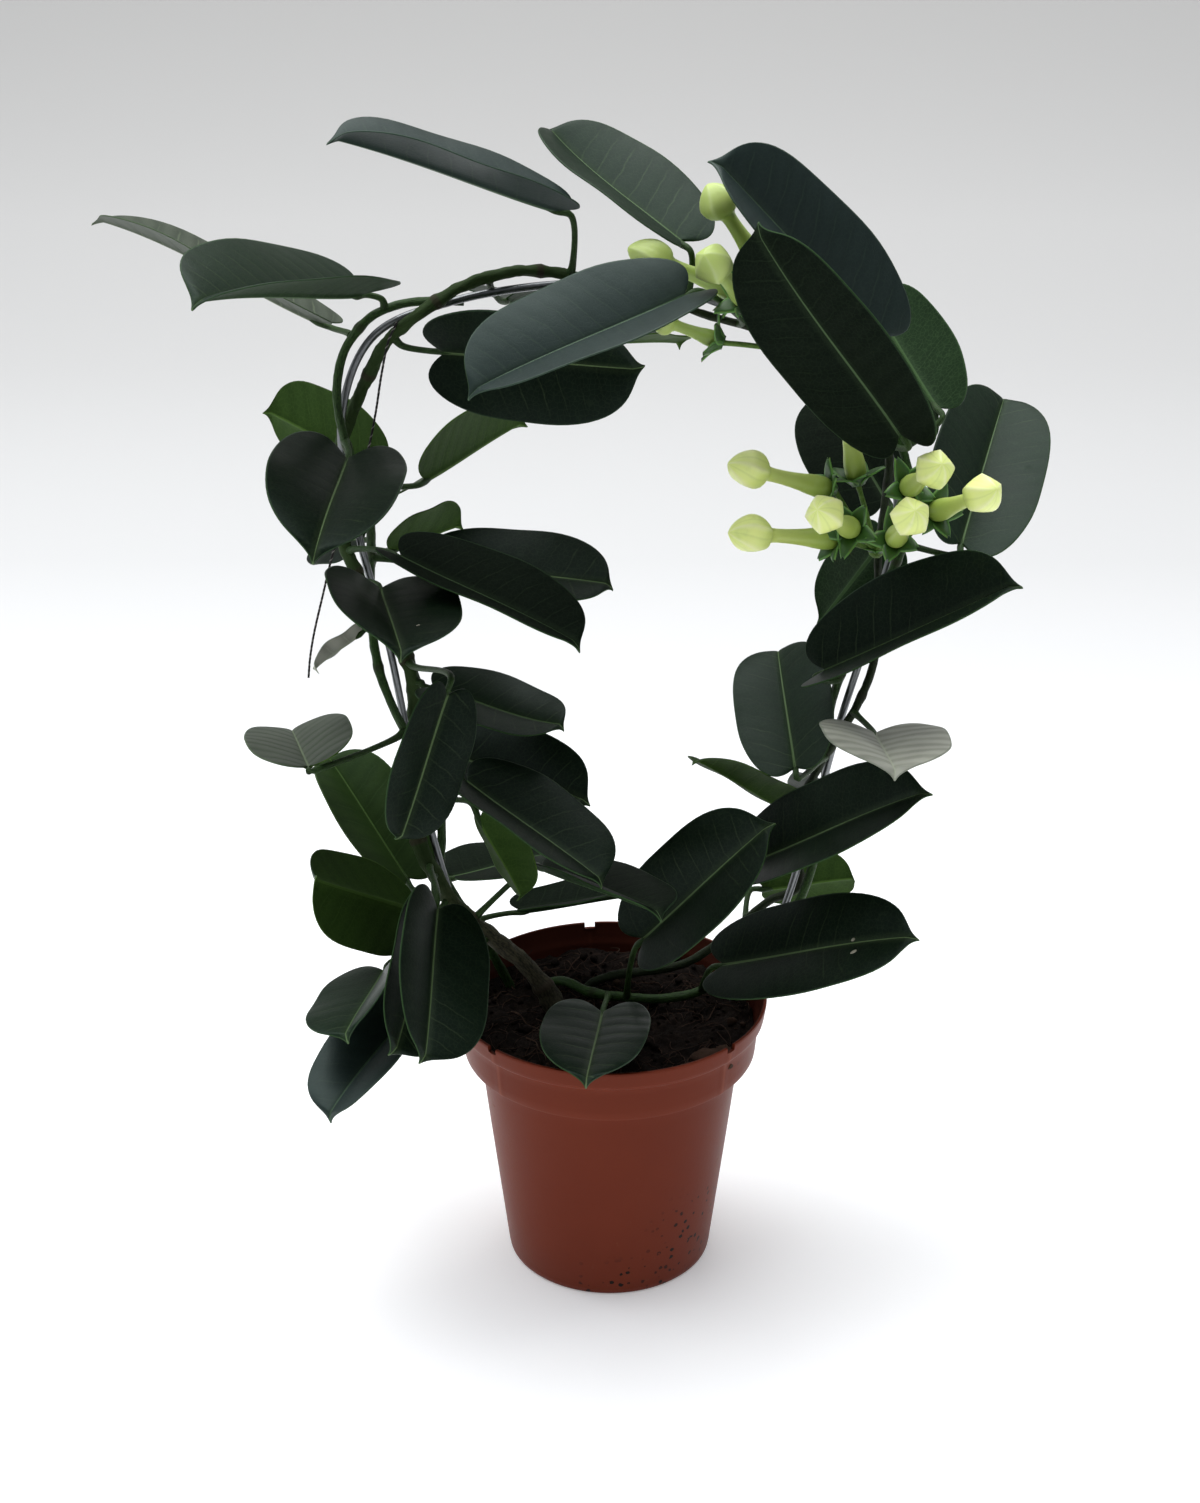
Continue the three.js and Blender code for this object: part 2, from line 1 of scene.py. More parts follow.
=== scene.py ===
import math
import random
from contextlib import contextmanager

import bmesh
import bpy
from mathutils import Matrix, Quaternion, Vector, noise


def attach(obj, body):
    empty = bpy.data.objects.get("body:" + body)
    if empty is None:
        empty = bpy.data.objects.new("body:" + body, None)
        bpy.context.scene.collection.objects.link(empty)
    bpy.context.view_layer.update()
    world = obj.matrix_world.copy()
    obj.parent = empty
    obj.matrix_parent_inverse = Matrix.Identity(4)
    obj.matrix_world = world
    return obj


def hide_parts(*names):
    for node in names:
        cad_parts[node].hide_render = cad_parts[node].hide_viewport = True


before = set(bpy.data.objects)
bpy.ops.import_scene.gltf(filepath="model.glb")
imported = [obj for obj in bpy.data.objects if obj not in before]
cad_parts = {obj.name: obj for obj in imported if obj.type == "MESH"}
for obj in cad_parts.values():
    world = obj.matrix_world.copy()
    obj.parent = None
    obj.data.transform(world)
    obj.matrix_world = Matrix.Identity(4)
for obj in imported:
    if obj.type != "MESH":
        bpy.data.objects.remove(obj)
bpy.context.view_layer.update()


# ---- Camera
# The eye is 0.8 m in front of the plant and a little above its arch. It looks down on the pot, so
# that the peat shows inside the rim.

camera = bpy.data.objects.new("camera", bpy.data.cameras.new("camera"))
camera.location = (0, -0.8, 0.564)
camera.rotation_euler = (math.radians(67.2), 0, math.radians(0.29))
camera.data.sensor_width = 36
camera.data.lens = 52.6
bpy.context.scene.collection.objects.link(camera)
bpy.context.scene.camera = camera


# ---- Tie thread
# A limp end of dark thread twisted with a white one, tied round wire and shoots at the shoulder
# of the arch. Its free end hangs loose beside the stems.

MM = 0.001


def mm(*place):
    """A place given in millimetres."""
    return Vector(place) * MM


def mix(a, b, share):
    return a + (b - a) * share


def angles_round(count):
    """The angles of evenly spaced places on a circle."""
    return [2 * math.pi * i / count for i in range(count)]


def polar(reach, angle):
    """Across and along, for a place at a distance and an angle."""
    return reach * math.cos(angle), reach * math.sin(angle)


class Route:
    """A smooth line through points, sampled closely enough to be walked by its length."""

    def __init__(self, points, samples=16):
        ends = [2 * points[0] - points[1], 2 * points[-1] - points[-2]]
        around = [ends[0], *points, ends[1]]
        self.line = []
        for p0, p1, p2, p3 in zip(around, around[1:], around[2:], around[3:]):
            d0, d1, d2 = (math.sqrt((b - a).length) or 1 for a, b in ((p0, p1), (p1, p2), (p2, p3)))
            m1 = ((p1 - p0) / d0 - (p2 - p0) / (d0 + d1) + (p2 - p1) / d1) * d1
            m2 = ((p2 - p1) / d1 - (p3 - p1) / (d1 + d2) + (p3 - p2) / d2) * d1
            for i in range(samples):
                t = i / samples
                self.line.append(
                    p1 * (2 * t**3 - 3 * t**2 + 1)
                    + m1 * (t**3 - 2 * t**2 + t)
                    + p2 * (3 * t**2 - 2 * t**3)
                    + m2 * (t**3 - t**2)
                )
        self.line.append(points[-1])
        self.run = [0.0]
        for a, b in zip(self.line, self.line[1:]):
            self.run.append(self.run[-1] + (b - a).length)
        self.length = self.run[-1]

    def _spot(self, share):
        goal = min(max(share, 0), 1) * self.length
        low, high = 0, len(self.run) - 1
        while high - low > 1:
            middle = (low + high) // 2
            if self.run[middle] <= goal:
                low = middle
            else:
                high = middle
        return low, (goal - self.run[low]) / (self.run[high] - self.run[low])

    def at(self, share):
        i, part = self._spot(share)
        return mix(self.line[i], self.line[i + 1], part)

    def heading(self, share):
        i, _ = self._spot(share)
        before = self.line[max(i - 1, 0)]
        after = self.line[min(i + 2, len(self.line) - 1)]
        return (after - before).normalized()

    def frames(self, steps):
        """Evenly spaced places with two directions square to the line, which turn with it."""
        across = None
        for i in range(steps + 1):
            share = i / steps
            ahead = self.heading(share)
            if across is None:
                across = ahead.orthogonal().normalized()
            across = (across - ahead * across.dot(ahead)).normalized()
            yield share, self.at(share), across, ahead.cross(across)


@contextmanager
def opened(mesh):
    """The mesh as a form that can be worked on, and that is written back afterwards."""
    form = bmesh.new()
    form.from_mesh(mesh)
    yield form
    form.to_mesh(mesh)
    form.free()


class Shape:
    """The points, faces and painted-on marks of a piece, gathered before its mesh is made."""

    def __init__(self):
        self.points = []
        self.marks = []
        self.faces = []
        self.finishes = []

    def point(self, place, **marks):
        self.points.append(place)
        self.marks.append(marks)
        return len(self.points) - 1

    def face(self, corners, finish):
        self.faces.append(corners)
        self.finishes.append(finish)

    def skin(self, rings, finish=0, capped=True):
        """Faces between rings that have equal numbers of points, and over both ends."""
        count = len(rings[0])
        choose = finish if callable(finish) else lambda j: finish
        for a, b in zip(rings, rings[1:]):
            for j in range(count):
                k = (j + 1) % count
                self.face((a[j], a[k], b[k], b[j]), choose(j))
        if capped:
            self.face(tuple(reversed(rings[0])), choose(0))
            self.face(tuple(rings[-1]), choose(0))

    def rod(self, route, radius, sides, steps, finish=0):
        """A round rod along a route. radius is a length, or is worked out from the share."""
        rings = []
        for share, centre, across, over in route.frames(steps):
            reach = radius(share) if callable(radius) else radius
            rings.append([
                self.point(
                    centre + (across * math.cos(angle) + over * math.sin(angle)) * reach,
                    run=share * route.length / MM, turn=math.cos(angle), side=math.sin(angle))
                for angle in angles_round(sides)])
        self.skin(rings, finish)

    def turned(self, outline, sides, place, finish):
        """A turned form from radius and height pairs, set up by place, a matrix."""
        self.skin([[
            self.point(
                place @ Vector((*polar(radius, angle), height)), run=height / MM,
                turn=math.cos(angle), side=math.sin(angle))
            for angle in angles_round(sides)] for radius, height in outline], finish)

    def make(self, name, finishes, slot, *nodes):
        """Turns what was gathered into an object that stands for the named nodes."""
        mesh = bpy.data.meshes.new(name)
        mesh.from_pydata(self.points, [], self.faces)
        mesh.polygons.foreach_set("material_index", self.finishes)
        mesh.polygons.foreach_set("use_smooth", [True] * len(mesh.polygons))
        for mark in sorted({key for marks in self.marks for key in marks}):
            layer = mesh.attributes.new(mark, "FLOAT", "POINT")
            layer.data.foreach_set("value", [marks.get(mark, 0.0) for marks in self.marks])
        for finish in finishes:
            mesh.materials.append(finish.material)
        with opened(mesh) as form:
            bmesh.ops.recalc_face_normals(form, faces=form.faces)
        piece = bpy.data.objects.new(name, mesh)
        bpy.context.scene.collection.objects.link(piece)
        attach(piece, "root")
        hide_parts(*nodes)
        return piece


class Level:
    """A shader socket that can be used in plain sums."""

    def __init__(self, finish, socket):
        self.finish = finish
        self.socket = socket

    def _sum(self, operation, *terms):
        return self.finish.node(
            "ShaderNodeMath", {"operation": operation}, dict(enumerate(terms)))

    def __add__(self, other):
        return self._sum("ADD", self, other)

    def __sub__(self, other):
        return self._sum("SUBTRACT", self, other)

    def __rsub__(self, other):
        return self._sum("SUBTRACT", other, self)

    def __mul__(self, other):
        return self._sum("MULTIPLY", self, other)

    def __truediv__(self, other):
        return self._sum("DIVIDE", self, other)

    def __rtruediv__(self, other):
        return self._sum("DIVIDE", other, self)

    __radd__ = __add__
    __rmul__ = __mul__

    def size(self):
        """The value without its sign."""
        return self._sum("ABSOLUTE", self)

    def fold(self, width):
        """Rises and falls between 0 and width, as a folded rule does."""
        return self._sum("PINGPONG", self, width)


class Finish:
    """A material whose pattern is worked out in space or from the marks on its piece.

    The light of the room is made in the same way, from another store and shader.
    """

    def __init__(self, name, store=bpy.data.materials, shader="Principled BSDF", **constants):
        self.material = store.new(name)
        self.material.use_nodes = True
        self.tree = self.material.node_tree
        self.shader = self.tree.nodes[shader]
        for socket, value in constants.items():
            self.shader.inputs[socket.replace("_", " ")].default_value = value

    def node(self, kind, settings=None, sockets=None, out=0):
        """Adds a node: its settings first, then the values or links of its sockets."""
        node = self.tree.nodes.new(kind)
        for key, value in (settings or {}).items():
            if key == "stops":
                ramp = node.color_ramp
                while len(ramp.elements) < len(value):
                    ramp.elements.new(0.5)
                for element, (spot, colour) in zip(ramp.elements, value):
                    element.position = spot
                    element.color = (*colour, 1)
            else:
                setattr(node, key, value)
        for key, value in (sockets or {}).items():
            if isinstance(value, Level):
                self.tree.links.new(value.socket, node.inputs[key])
            elif isinstance(value, tuple) and len(value) == 3 and node.inputs[key].type == "RGBA":
                node.inputs[key].default_value = (*value, 1)
            else:
                node.inputs[key].default_value = value
        return Level(self, node.outputs[out])

    def mark(self, name):
        """A value that was given to the points of the piece."""
        return self.node("ShaderNodeAttribute", {"attribute_name": name}, out="Fac")

    def space(self):
        return self.node("ShaderNodeTexCoord", out="Object")

    def grain(self, scale, detail=3, roughness=0.55, place=None):
        """Cloudy noise from 0 to 1, with scale waves to the metre."""
        return self.node(
            "ShaderNodeTexNoise", None,
            {"Vector": place or self.space(), "Scale": scale, "Detail": detail,
             "Roughness": roughness})

    def step(self, level, low, high):
        """0 below low and 1 above high, with a soft passage between."""
        return self.node(
            "ShaderNodeMapRange", {"interpolation_type": "SMOOTHSTEP"},
            {"Value": level, "From Min": low, "From Max": high})

    def blend(self, share, a, b):
        """Colour a where share is 0 and colour b where it is 1."""
        return self.node(
            "ShaderNodeMix", {"data_type": "RGBA"}, {0: share, 6: a, 7: b}, out=2)

    def relief(self, height, depth):
        """Presses height, from 0 to 1, into the surface, depth metres deep."""
        self.paint("Normal", self.node(
            "ShaderNodeBump", None, {"Height": height, "Distance": depth, "Strength": 1.0}))

    def paint(self, socket, level):
        self.tree.links.new(level.socket, self.shader.inputs[socket])


thread_finish = Finish("thread_finish")
thread_ply = thread_finish.mark("turn")
thread_finish.paint("Base Color", thread_finish.blend(
    thread_finish.step(thread_ply, 0.72, 0.92), (0.008, 0.006, 0.005), (0.2, 0.19, 0.17)))
thread_finish.paint("Roughness", thread_finish.grain(3000) * 0.3 + 0.65)

THREAD_RADIUS = 0.5 * MM
THREAD_PITCH = 3.4 * MM
THREAD_ROUTE = [
    (-79, 8, 396), (-82, 6, 390), (-85, 5, 378), (-88, 4, 362), (-92, 3, 346), (-99, 2, 329),
    (-106, 2, 309), (-111, 2, 291), (-115, 2, 276), (-117, 2, 266), (-118, 2, 258),
]
thread_route = Route([mm(*p) for p in THREAD_ROUTE])
thread = Shape()
thread_rings = []
for share, centre, across, over in thread_route.frames(280):
    twist = share * thread_route.length / THREAD_PITCH * 2 * math.pi
    ring = []
    for angle in angles_round(12):
        out = across * math.cos(angle + twist) + over * math.sin(angle + twist)
        reach = THREAD_RADIUS * (0.8 + 0.2 * abs(math.cos(angle)))
        ring.append(thread.point(centre + out * reach, turn=math.cos(angle)))
    thread_rings.append(ring)
thread.skin(thread_rings)
thread_piece = thread.make("hanging_thread", [thread_finish], "tie_thread", "tie_thread")
thread_route.at(0)
[thread_route.at(i / 60) for i in range(61)]


# ---- Grower's pot
# Moulded in satin reddish-brown plastic, with a wide band under its rim, three notches in the
# rim with a mould line under each, and six drain holes in its floor. Peat has smeared it here and
# there.

POT_HEIGHT = 119.4
RIM_RADIUS = 65
DRAIN_CIRCLE = 30
DRAIN_RADIUS = 4
DRAIN_COUNT = 6
NOTCH_ANGLES = (98, 224, 318)
NOTCH_SIZE = (12, 4.5, 5.2)
BAND_FOOT, BAND_TOP = 95, 119
BAND_INSIDE = 60
MOULD_RISE = 0.25
POT_SIDES = 180
POT_OUTLINE = [
    (0, 0), (36, 0), (37, 0.9), (39.5, 0.9), (40.5, 0), (42.2, 0.1), (43, 0.9), (43.4, 3),
    (46.6, 30), (50.2, 60), (53.2, 86), (54.1, 93.4), (54.6, 94.7), (56, 95.1), (59, 95.2),
    (60.1, 95.5), (60.6, 96.4), (61, 100), (61.6, 107), (61.9, 110), (62.3, 110.8), (63.2, 111.3),
    (63.9, 112), (64.2, 113.2), (64.6, 116), (64.9, 118), (65, 118.6), (64.8, 119.2), (64.2, 119.4),
    (63.6, 119.2), (63.3, 118.6), (62.6, 114), (60.8, 111.4), (60.2, 110), (58.8, 97.8),
    (57, 95.6), (53, 94), (52.4, 92), (47, 46), (41.6, 3.6), (40.6, 2.5), (0, 2.4),
]

# Where watering has splashed peat on the wall, low on the right.
SPLASH_PLACE = (0.033, -0.03, 0.025)

pot_finish = Finish("pot_finish", IOR=1.45, Specular_IOR_Level=0.1)
pot_place = pot_finish.space()
pot_cloud = pot_finish.grain(22, 4)
pot_fine = pot_finish.grain(900, 2)
pot_colour = pot_finish.blend(pot_cloud, (0.138, 0.023, 0.0095), (0.172, 0.031, 0.0125))
pot_colour = pot_finish.blend(
    pot_finish.step(pot_finish.mark("line"), 0.35, 1.0) * 0.5, pot_colour, (0.25, 0.065, 0.034))
pot_dust = pot_finish.step(pot_finish.grain(240, 5, 0.7), 0.63, 0.7) * pot_finish.step(
    pot_finish.grain(16, 2), 0.45, 0.62)
pot_colour = pot_finish.blend(pot_dust * 0.3, pot_colour, (0.2, 0.075, 0.045))
pot_crumb = pot_finish.step(
    pot_finish.node("ShaderNodeTexVoronoi", None, {
        "Vector": pot_place, "Scale": 260.0}) + pot_fine * 0.3, 0.44, 0.36)
pot_smear = pot_finish.step(pot_finish.grain(11, 3, 0.6, pot_finish.node(
    "ShaderNodeVectorMath", {"operation": "ADD"}, {0: pot_place, 1: (3.1, 0.4, 1.7)})), 0.56, 0.68)
pot_splash = pot_finish.step(pot_finish.node(
    "ShaderNodeVectorMath", {"operation": "DISTANCE"}, {0: pot_place, 1: SPLASH_PLACE}, out=1),
    0.03, 0.008)
pot_smear = pot_smear + pot_splash * pot_finish.step(pot_finish.grain(150, 2), 0.44, 0.47)
pot_colour = pot_finish.blend(pot_crumb * pot_smear, pot_colour, (0.012, 0.007, 0.005))
# Painted shade: the skin inside the pot is painted much darker than the outside.
pot_finish.paint("Base Color", pot_finish.blend(
    pot_finish.mark("inside") * 0.8, pot_colour, (0.028, 0.008, 0.005)))
pot_finish.paint("Roughness", pot_cloud * 0.14 + pot_fine * 0.08 + pot_dust * 0.2 + 0.3)
pot_finish.relief(pot_fine * 0.5 + pot_finish.grain(140, 2) * 0.5, 0.00006)

pot = Shape()
pot_rings = []
for radius, height in POT_OUTLINE:
    ring = []
    for angle in angles_round(POT_SIDES):
        # A faint raised line runs down the band under each notch, where the mould's parts met.
        off_notch = min(
            abs((math.degrees(angle) - notch + 180) % 360 - 180) for notch in NOTCH_ANGLES)
        on_band = BAND_FOOT < height < BAND_TOP and radius > BAND_INSIDE
        line = max(0.0, 1 - off_notch / 2) if on_band else 0.0
        ring.append(pot.point(mm(*polar(radius + MOULD_RISE * line, angle), height), line=line))
    pot_rings.append(ring)
pot.skin(pot_rings, capped=False)
pot_piece = pot.make("pot_shell", [pot_finish], "pot_plastic", "pot")


SHARP_ANGLE = math.radians(38)


def weld_and_cut(piece, cutters):
    """Joins doubled points, cuts the other forms away and keeps true edges sharp."""
    with opened(piece.data) as form:
        bmesh.ops.remove_doubles(form, verts=form.verts, dist=1e-6)
    for number, cutter in enumerate(cutters):
        cut = piece.modifiers.new(f"cut_{number}", "BOOLEAN")
        cut.object = cutter
        cut.solver = "EXACT"
    bpy.context.view_layer.update()
    graph = bpy.context.evaluated_depsgraph_get()
    ready = bpy.data.meshes.new_from_object(piece.evaluated_get(graph))
    piece.modifiers.clear()
    piece.data = ready
    for cutter in cutters:
        bpy.data.objects.remove(cutter)
    with opened(piece.data) as form:
        for edge in form.edges:
            edge.smooth = len(edge.link_faces) < 2 or edge.calc_face_angle(0) < SHARP_ANGLE
        for face in form.faces:
            face.smooth = True


def cutting_form(build, **sizes):
    """A form that is only there to be cut away, built with the given sizes."""
    mesh = bpy.data.meshes.new("cutter")
    with opened(mesh) as form:
        build(form, **sizes)
    thing = bpy.data.objects.new("cutter", mesh)
    bpy.context.scene.collection.objects.link(thing)
    return thing


pot_cutters = []
for angle in NOTCH_ANGLES:
    pot_cutters.append(cutting_form(
        bmesh.ops.create_cube, size=1, matrix=Matrix.Rotation(math.radians(angle), 4, "Z")
        @ Matrix.Translation(mm(RIM_RADIUS - 1, 0, POT_HEIGHT))
        @ Matrix.Diagonal((*(size * MM for size in NOTCH_SIZE), 1))))
for k in range(DRAIN_COUNT):
    angle = (k + 0.5) / DRAIN_COUNT * 2 * math.pi
    pot_cutters.append(cutting_form(
        bmesh.ops.create_cone, cap_ends=True, segments=32, radius1=DRAIN_RADIUS * MM,
        radius2=DRAIN_RADIUS * MM, depth=12 * MM,
        matrix=Matrix.Translation(mm(*polar(DRAIN_CIRCLE, angle), 0))))
weld_and_cut(pot_piece, pot_cutters)
# The skin that faces the pot's middle is marked, and is painted darker there as painted shade
# inside the pot.
inside = pot_piece.data.attributes.new("inside", "FLOAT", "POINT")
inside.data.foreach_set("value", [
    1.0 if point.normal.xy.dot(point.co.xy.normalized()) < -0.3 and point.co.z > 3 * MM else 0.0
    for point in pot_piece.data.vertices])


# ---- Peat
# Loose dark peat fills the pot to a finger's width under the rim: crumbs, a few paler lumps and
# fine dead roots over a moist mass.

SOIL_TOP = 109
SOIL_RADIUS = 59.6
SOIL_SIDES = 260
CRUMB_COUNT = 420
FIBRE_COUNT = 230

peat_finish = Finish("peat_finish", Roughness=0.95, Specular_IOR_Level=0.12)
peat_lump = peat_finish.grain(120, 6, 0.7)
peat_fine = peat_finish.grain(1400, 4, 0.7)
peat_colour = peat_finish.node("ShaderNodeValToRGB", {"stops": [
    (0.3, (0.003, 0.002, 0.0015)), (0.52, (0.009, 0.0055, 0.004)),
    (0.64, (0.024, 0.015, 0.011)), (0.78, (0.08, 0.055, 0.04))]},
    {"Fac": peat_lump * 0.6 + peat_fine * 0.4})
peat_finish.paint("Base Color", peat_finish.blend(
    peat_finish.mark("pale") * 0.85, peat_colour, (0.1, 0.058, 0.04)))
peat_finish.relief(peat_lump * 0.5 + peat_fine * 0.5, 0.0012)

fibre_finish = Finish("fibre_finish", Roughness=0.9, Specular_IOR_Level=0.15)
fibre_finish.paint("Base Color", fibre_finish.blend(
    fibre_finish.grain(200, 2), (0.014, 0.008, 0.006), (0.085, 0.05, 0.034)))


def soil_height(x, y):
    """Height of the peat in millimetres: low swells, lumps and crumbs."""
    spot = Vector((x, y, 0))
    height = 1.6 * noise.noise(spot * 0.035 + Vector((4, 1, 0)))
    height += 2.2 * (noise.noise(spot * 0.11) + 0.1)
    height += 1.1 * noise.noise(spot * 0.32 + Vector((0, 9, 0)))
    height += 0.7 * noise.noise(spot * 0.9 + Vector((2, 3, 0)))
    edge = max(0.0, (math.hypot(x, y) - 50) / 9)
    return SOIL_TOP + height - 1.2 * edge


def soil_ring(reach, height=None):
    """A ring of points at a level height, or along the uneven top of the peat."""
    ring = []
    for angle in angles_round(SOIL_SIDES):
        x, y = polar(reach, angle)
        ring.append(soil.point(mm(x, y, soil_height(x, y) if height is None else height)))
    return ring


PEAT, FIBRE = range(2)
soil = Shape()
soil_rings = [soil_ring(0.2 + (SOIL_RADIUS - 0.2) * (i / 110) ** 0.8) for i in range(111)]
soil_rings += [soil_ring(*ring) for ring in [(59.2, 104), (58.2, 98), (52, 92), (41, 3)]]
soil.skin(soil_rings, PEAT)

chance = random.Random(7)


def scattered(within):
    """A random place on the peat, no further from the middle than within."""
    reach = within * math.sqrt(chance.random())
    return polar(reach, chance.uniform(0, 2 * math.pi))


def crumb(place, size, pale=0.0):
    """A small uneven lump that lies half sunk in the peat."""
    axis = Vector((chance.gauss(0, 1), chance.gauss(0, 1), chance.gauss(0, 1)))
    turn = Quaternion(axis, chance.uniform(0, 3))
    squash = Vector((chance.uniform(0.7, 1.2), chance.uniform(0.6, 1.1), chance.uniform(0.5, 0.9)))
    fineness = 3 if size > 4 else 2 if size > 1.6 else 1
    form = bmesh.new()
    bmesh.ops.create_icosphere(form, subdivisions=fineness, radius=1)
    first = len(soil.points)
    for vert in form.verts:
        out = 1 + 0.45 * noise.noise(vert.co * 1.7 + place)
        out += 0.15 * noise.noise(vert.co * 5 + place)
        spot = turn @ Vector([c * s for c, s in zip(vert.co * out * size, squash)])
        soil.point((place + spot) * MM, pale=pale)
    for face in form.faces:
        soil.face(tuple(first + vert.index for vert in face.verts), PEAT)
    form.free()


for _ in range(CRUMB_COUNT):
    x, y = scattered(57)
    size = chance.choice((0.5, 0.7, 0.7, 0.9, 0.9, 1.2, 1.5, 2.2))
    pale = 0.5 if chance.random() < 0.12 else 0.0
    crumb(Vector((x, y, soil_height(x, y) + size * 0.3)), size, pale)
for x, y, size, pale in [(38, -38, 6, 0.9), (46, -34, 5, 0.8), (31, -43, 4, 0.6), (15, -48, 4, 0.0),
                         (-30, -42, 3.5, 0.1)]:
    crumb(Vector((x, y, soil_height(x, y) + size * 0.1)), size, pale)
# Two crumbs lie on the front of the rim.
crumb(Vector((14, -60.5, 118.4)), 2.2)
crumb(Vector((17, -60.2, 118.6)), 1.4)


def fibre(start, heading, length, thick, rise):
    """A dead root or straw that lies wriggling on the peat, or stands up a little."""
    spots = []
    x, y, z = start
    for i in range(7):
        share = i / 6
        spots.append(mm(x, y, z + rise * math.sin(share * math.pi * 0.75)))
        heading += chance.uniform(-0.5, 0.5)
        x += math.cos(heading) * length / 6
        y += math.sin(heading) * length / 6
        if math.hypot(x, y) > 58:
            x, y = x * 58 / math.hypot(x, y), y * 58 / math.hypot(x, y)
        z = soil_height(x, y) + 0.4
    soil.rod(Route(spots, 6), lambda share: thick * MM * (1 - 0.6 * share), 5, 14, FIBRE)


for _ in range(FIBRE_COUNT):
    x, y = scattered(56)
    fibre((x, y, soil_height(x, y)), chance.uniform(0, 6.3), chance.uniform(5, 24),
          chance.choice((0.12, 0.16, 0.22, 0.35)), chance.choice((0.3, 0.6, 1, 2.4)))
# Three root hairs stand up behind the left stems, over the rim.
for spots in [((-44, 22, 108), (-50, 24, 122), (-45, 26, 131)),
              ((-41, 24, 108), (-39, 26, 121), (-43, 25, 127)),
              ((-37, 26, 108), (-36, 28, 119), (-33, 27, 125))]:
    soil.rod(Route([mm(*spot) for spot in spots], 8), 0.16 * MM, 5, 12, FIBRE)
soil.make("peat_fill", [peat_finish, fibre_finish], "peat", "soil")


# ---- Wire hoop
# One length of bright galvanised wire, bent into an arch. Both of its ends are pushed deep into
# the peat, and the shoots are wound round it.

HOOP_RADIUS = 1.5
HOOP_Y = 15
HOOP_ROUTE = [
    (-34, 48), (-56, 118), (-69, 168), (-80, 220), (-88, 270), (-97, 310), (-102, 358),
    (-89, 389), (-60, 402), (-11, 409), (30, 405), (70, 386), (100, 357), (110, 325),
    (105, 287), (92, 235), (82, 190), (69, 142), (56, 118), (34, 48),
]

wire_finish = Finish("wire_finish", Metallic=1.0)
wire_spangle = wire_finish.grain(420, 4, 0.6)
wire_finish.paint("Base Color", wire_finish.blend(
    wire_spangle, (0.11, 0.115, 0.12), (0.26, 0.27, 0.275)))
wire_finish.paint("Roughness", wire_spangle * 0.2 + 0.28)

hoop_route = Route([mm(x, HOOP_Y, z) for x, z in HOOP_ROUTE], 24)
hoop = Shape()
hoop.rod(hoop_route, HOOP_RADIUS * MM, sides=20, steps=420)
hoop.make("wire_arch", [wire_finish], "galvanised_wire", "hoop")


# ---- Vines
# Four shoots of the climber rise from the peat. The oldest is woody and knobby at its foot, and all
# of them twine up the two sides of the wire, with a swollen joint at each pair of leaves.


def wound(start, end, turns, first_angle, distance, count):
    """Places along a shoot wound round the hoop between two shares of its length."""
    places = []
    for i in range(count + 1):
        share = mix(start, end, i / count)
        angle = math.radians(first_angle + turns * 360 * i / count)
        ahead = hoop_route.heading(share)
        outward = Vector((-ahead.z, 0, ahead.x))
        places.append(
            hoop_route.at(share) + outward * math.cos(angle) * distance * MM
            + Vector((0, math.sin(angle) * distance * MM, 0)))
    return places


class Vine:
    """A shoot along a route, and how thick it is at its foot and at its end."""

    def __init__(self, route, thick, thin):
        self.route = Route(route)
        self.thick = thick * MM
        self.thin = thin * MM
        self.spots = [(i / 300, self.route.at(i / 300)) for i in range(301)]

    def radius(self, share):
        return mix(self.thick, self.thin, math.sqrt(share))


VINES = {
    "vine_left_old": Vine(
        [mm(-16, -6, 84), mm(-19, -3, 104), mm(-27, 0, 121), mm(-38, 3, 134), mm(-52, 7, 144),
         *wound(0.125, 0.5, 2.6, 250, 6.2, 30)], 4.4, 2),
    "vine_left_young": Vine(
        [mm(-35, 24, 84), mm(-43, 26, 109), mm(-55, 25, 134), *wound(0.14, 0.44, 2.1, 75, 6, 24)],
        2.2, 1.6),
    "vine_right_green": Vine(
        [mm(-30, 26, 86), mm(-28, 24, 108), mm(-20, 16, 116), mm(-8, 8, 115), mm(6, 6, 114),
         mm(24, 5, 114), mm(38, 8, 116), mm(52, 12, 124), mm(68, 8, 141),
         *wound(0.885, 0.605, 1.5, 290, 5.6, 24)], 2.2, 1.6),
    "vine_right_dark": Vine(
        [mm(-11, 22, 86), mm(-10, 20, 110), mm(-1, 18, 117), mm(14, 19, 119), mm(32, 21, 122),
         mm(48, 24, 132), mm(66, 23, 150), *wound(0.865, 0.53, 2.5, 49, 5.6, 30)], 2, 1.5),
}


def stem_finish(name, dark, light, scar, rough, young=None):
    """Bark or green skin: streaks along the stem, darker scars across it and small pale dots.

    A stem whose upper end is younger than its foot turns to the colour young up there.
    """
    stem = Finish(name, Roughness=rough, Specular_IOR_Level=0.2)
    run = stem.mark("run")
    streak_place = stem.node("ShaderNodeCombineXYZ", None, {
        0: stem.mark("turn") * 2.2, 1: stem.mark("side") * 2.2, 2: run * 0.12})
    streak = stem.grain(2.4, 4, 0.65, streak_place)
    fine = stem.grain(1100, 3, 0.6)
    colour = stem.blend(stem.step(streak * 0.7 + fine * 0.3, 0.38, 0.62), dark, light)
    if young:
        colour = stem.blend(stem.step(run, 60, 125) * (streak * 0.25 + 0.75), colour, young)
    ring = stem.step(stem.mark("joint"), 0.45, 0.9)
    colour = stem.blend(ring * 0.7, colour, scar)
    dots = stem.step(stem.node("ShaderNodeTexVoronoi", None, {
        "Vector": stem.space(), "Scale": 420.0}), 0.16, 0.08)
    stem.paint("Base Color", stem.blend(dots * 0.35, colour, light))
    stem.relief(streak * 0.7 + fine * 0.3, 0.0004)
    return stem


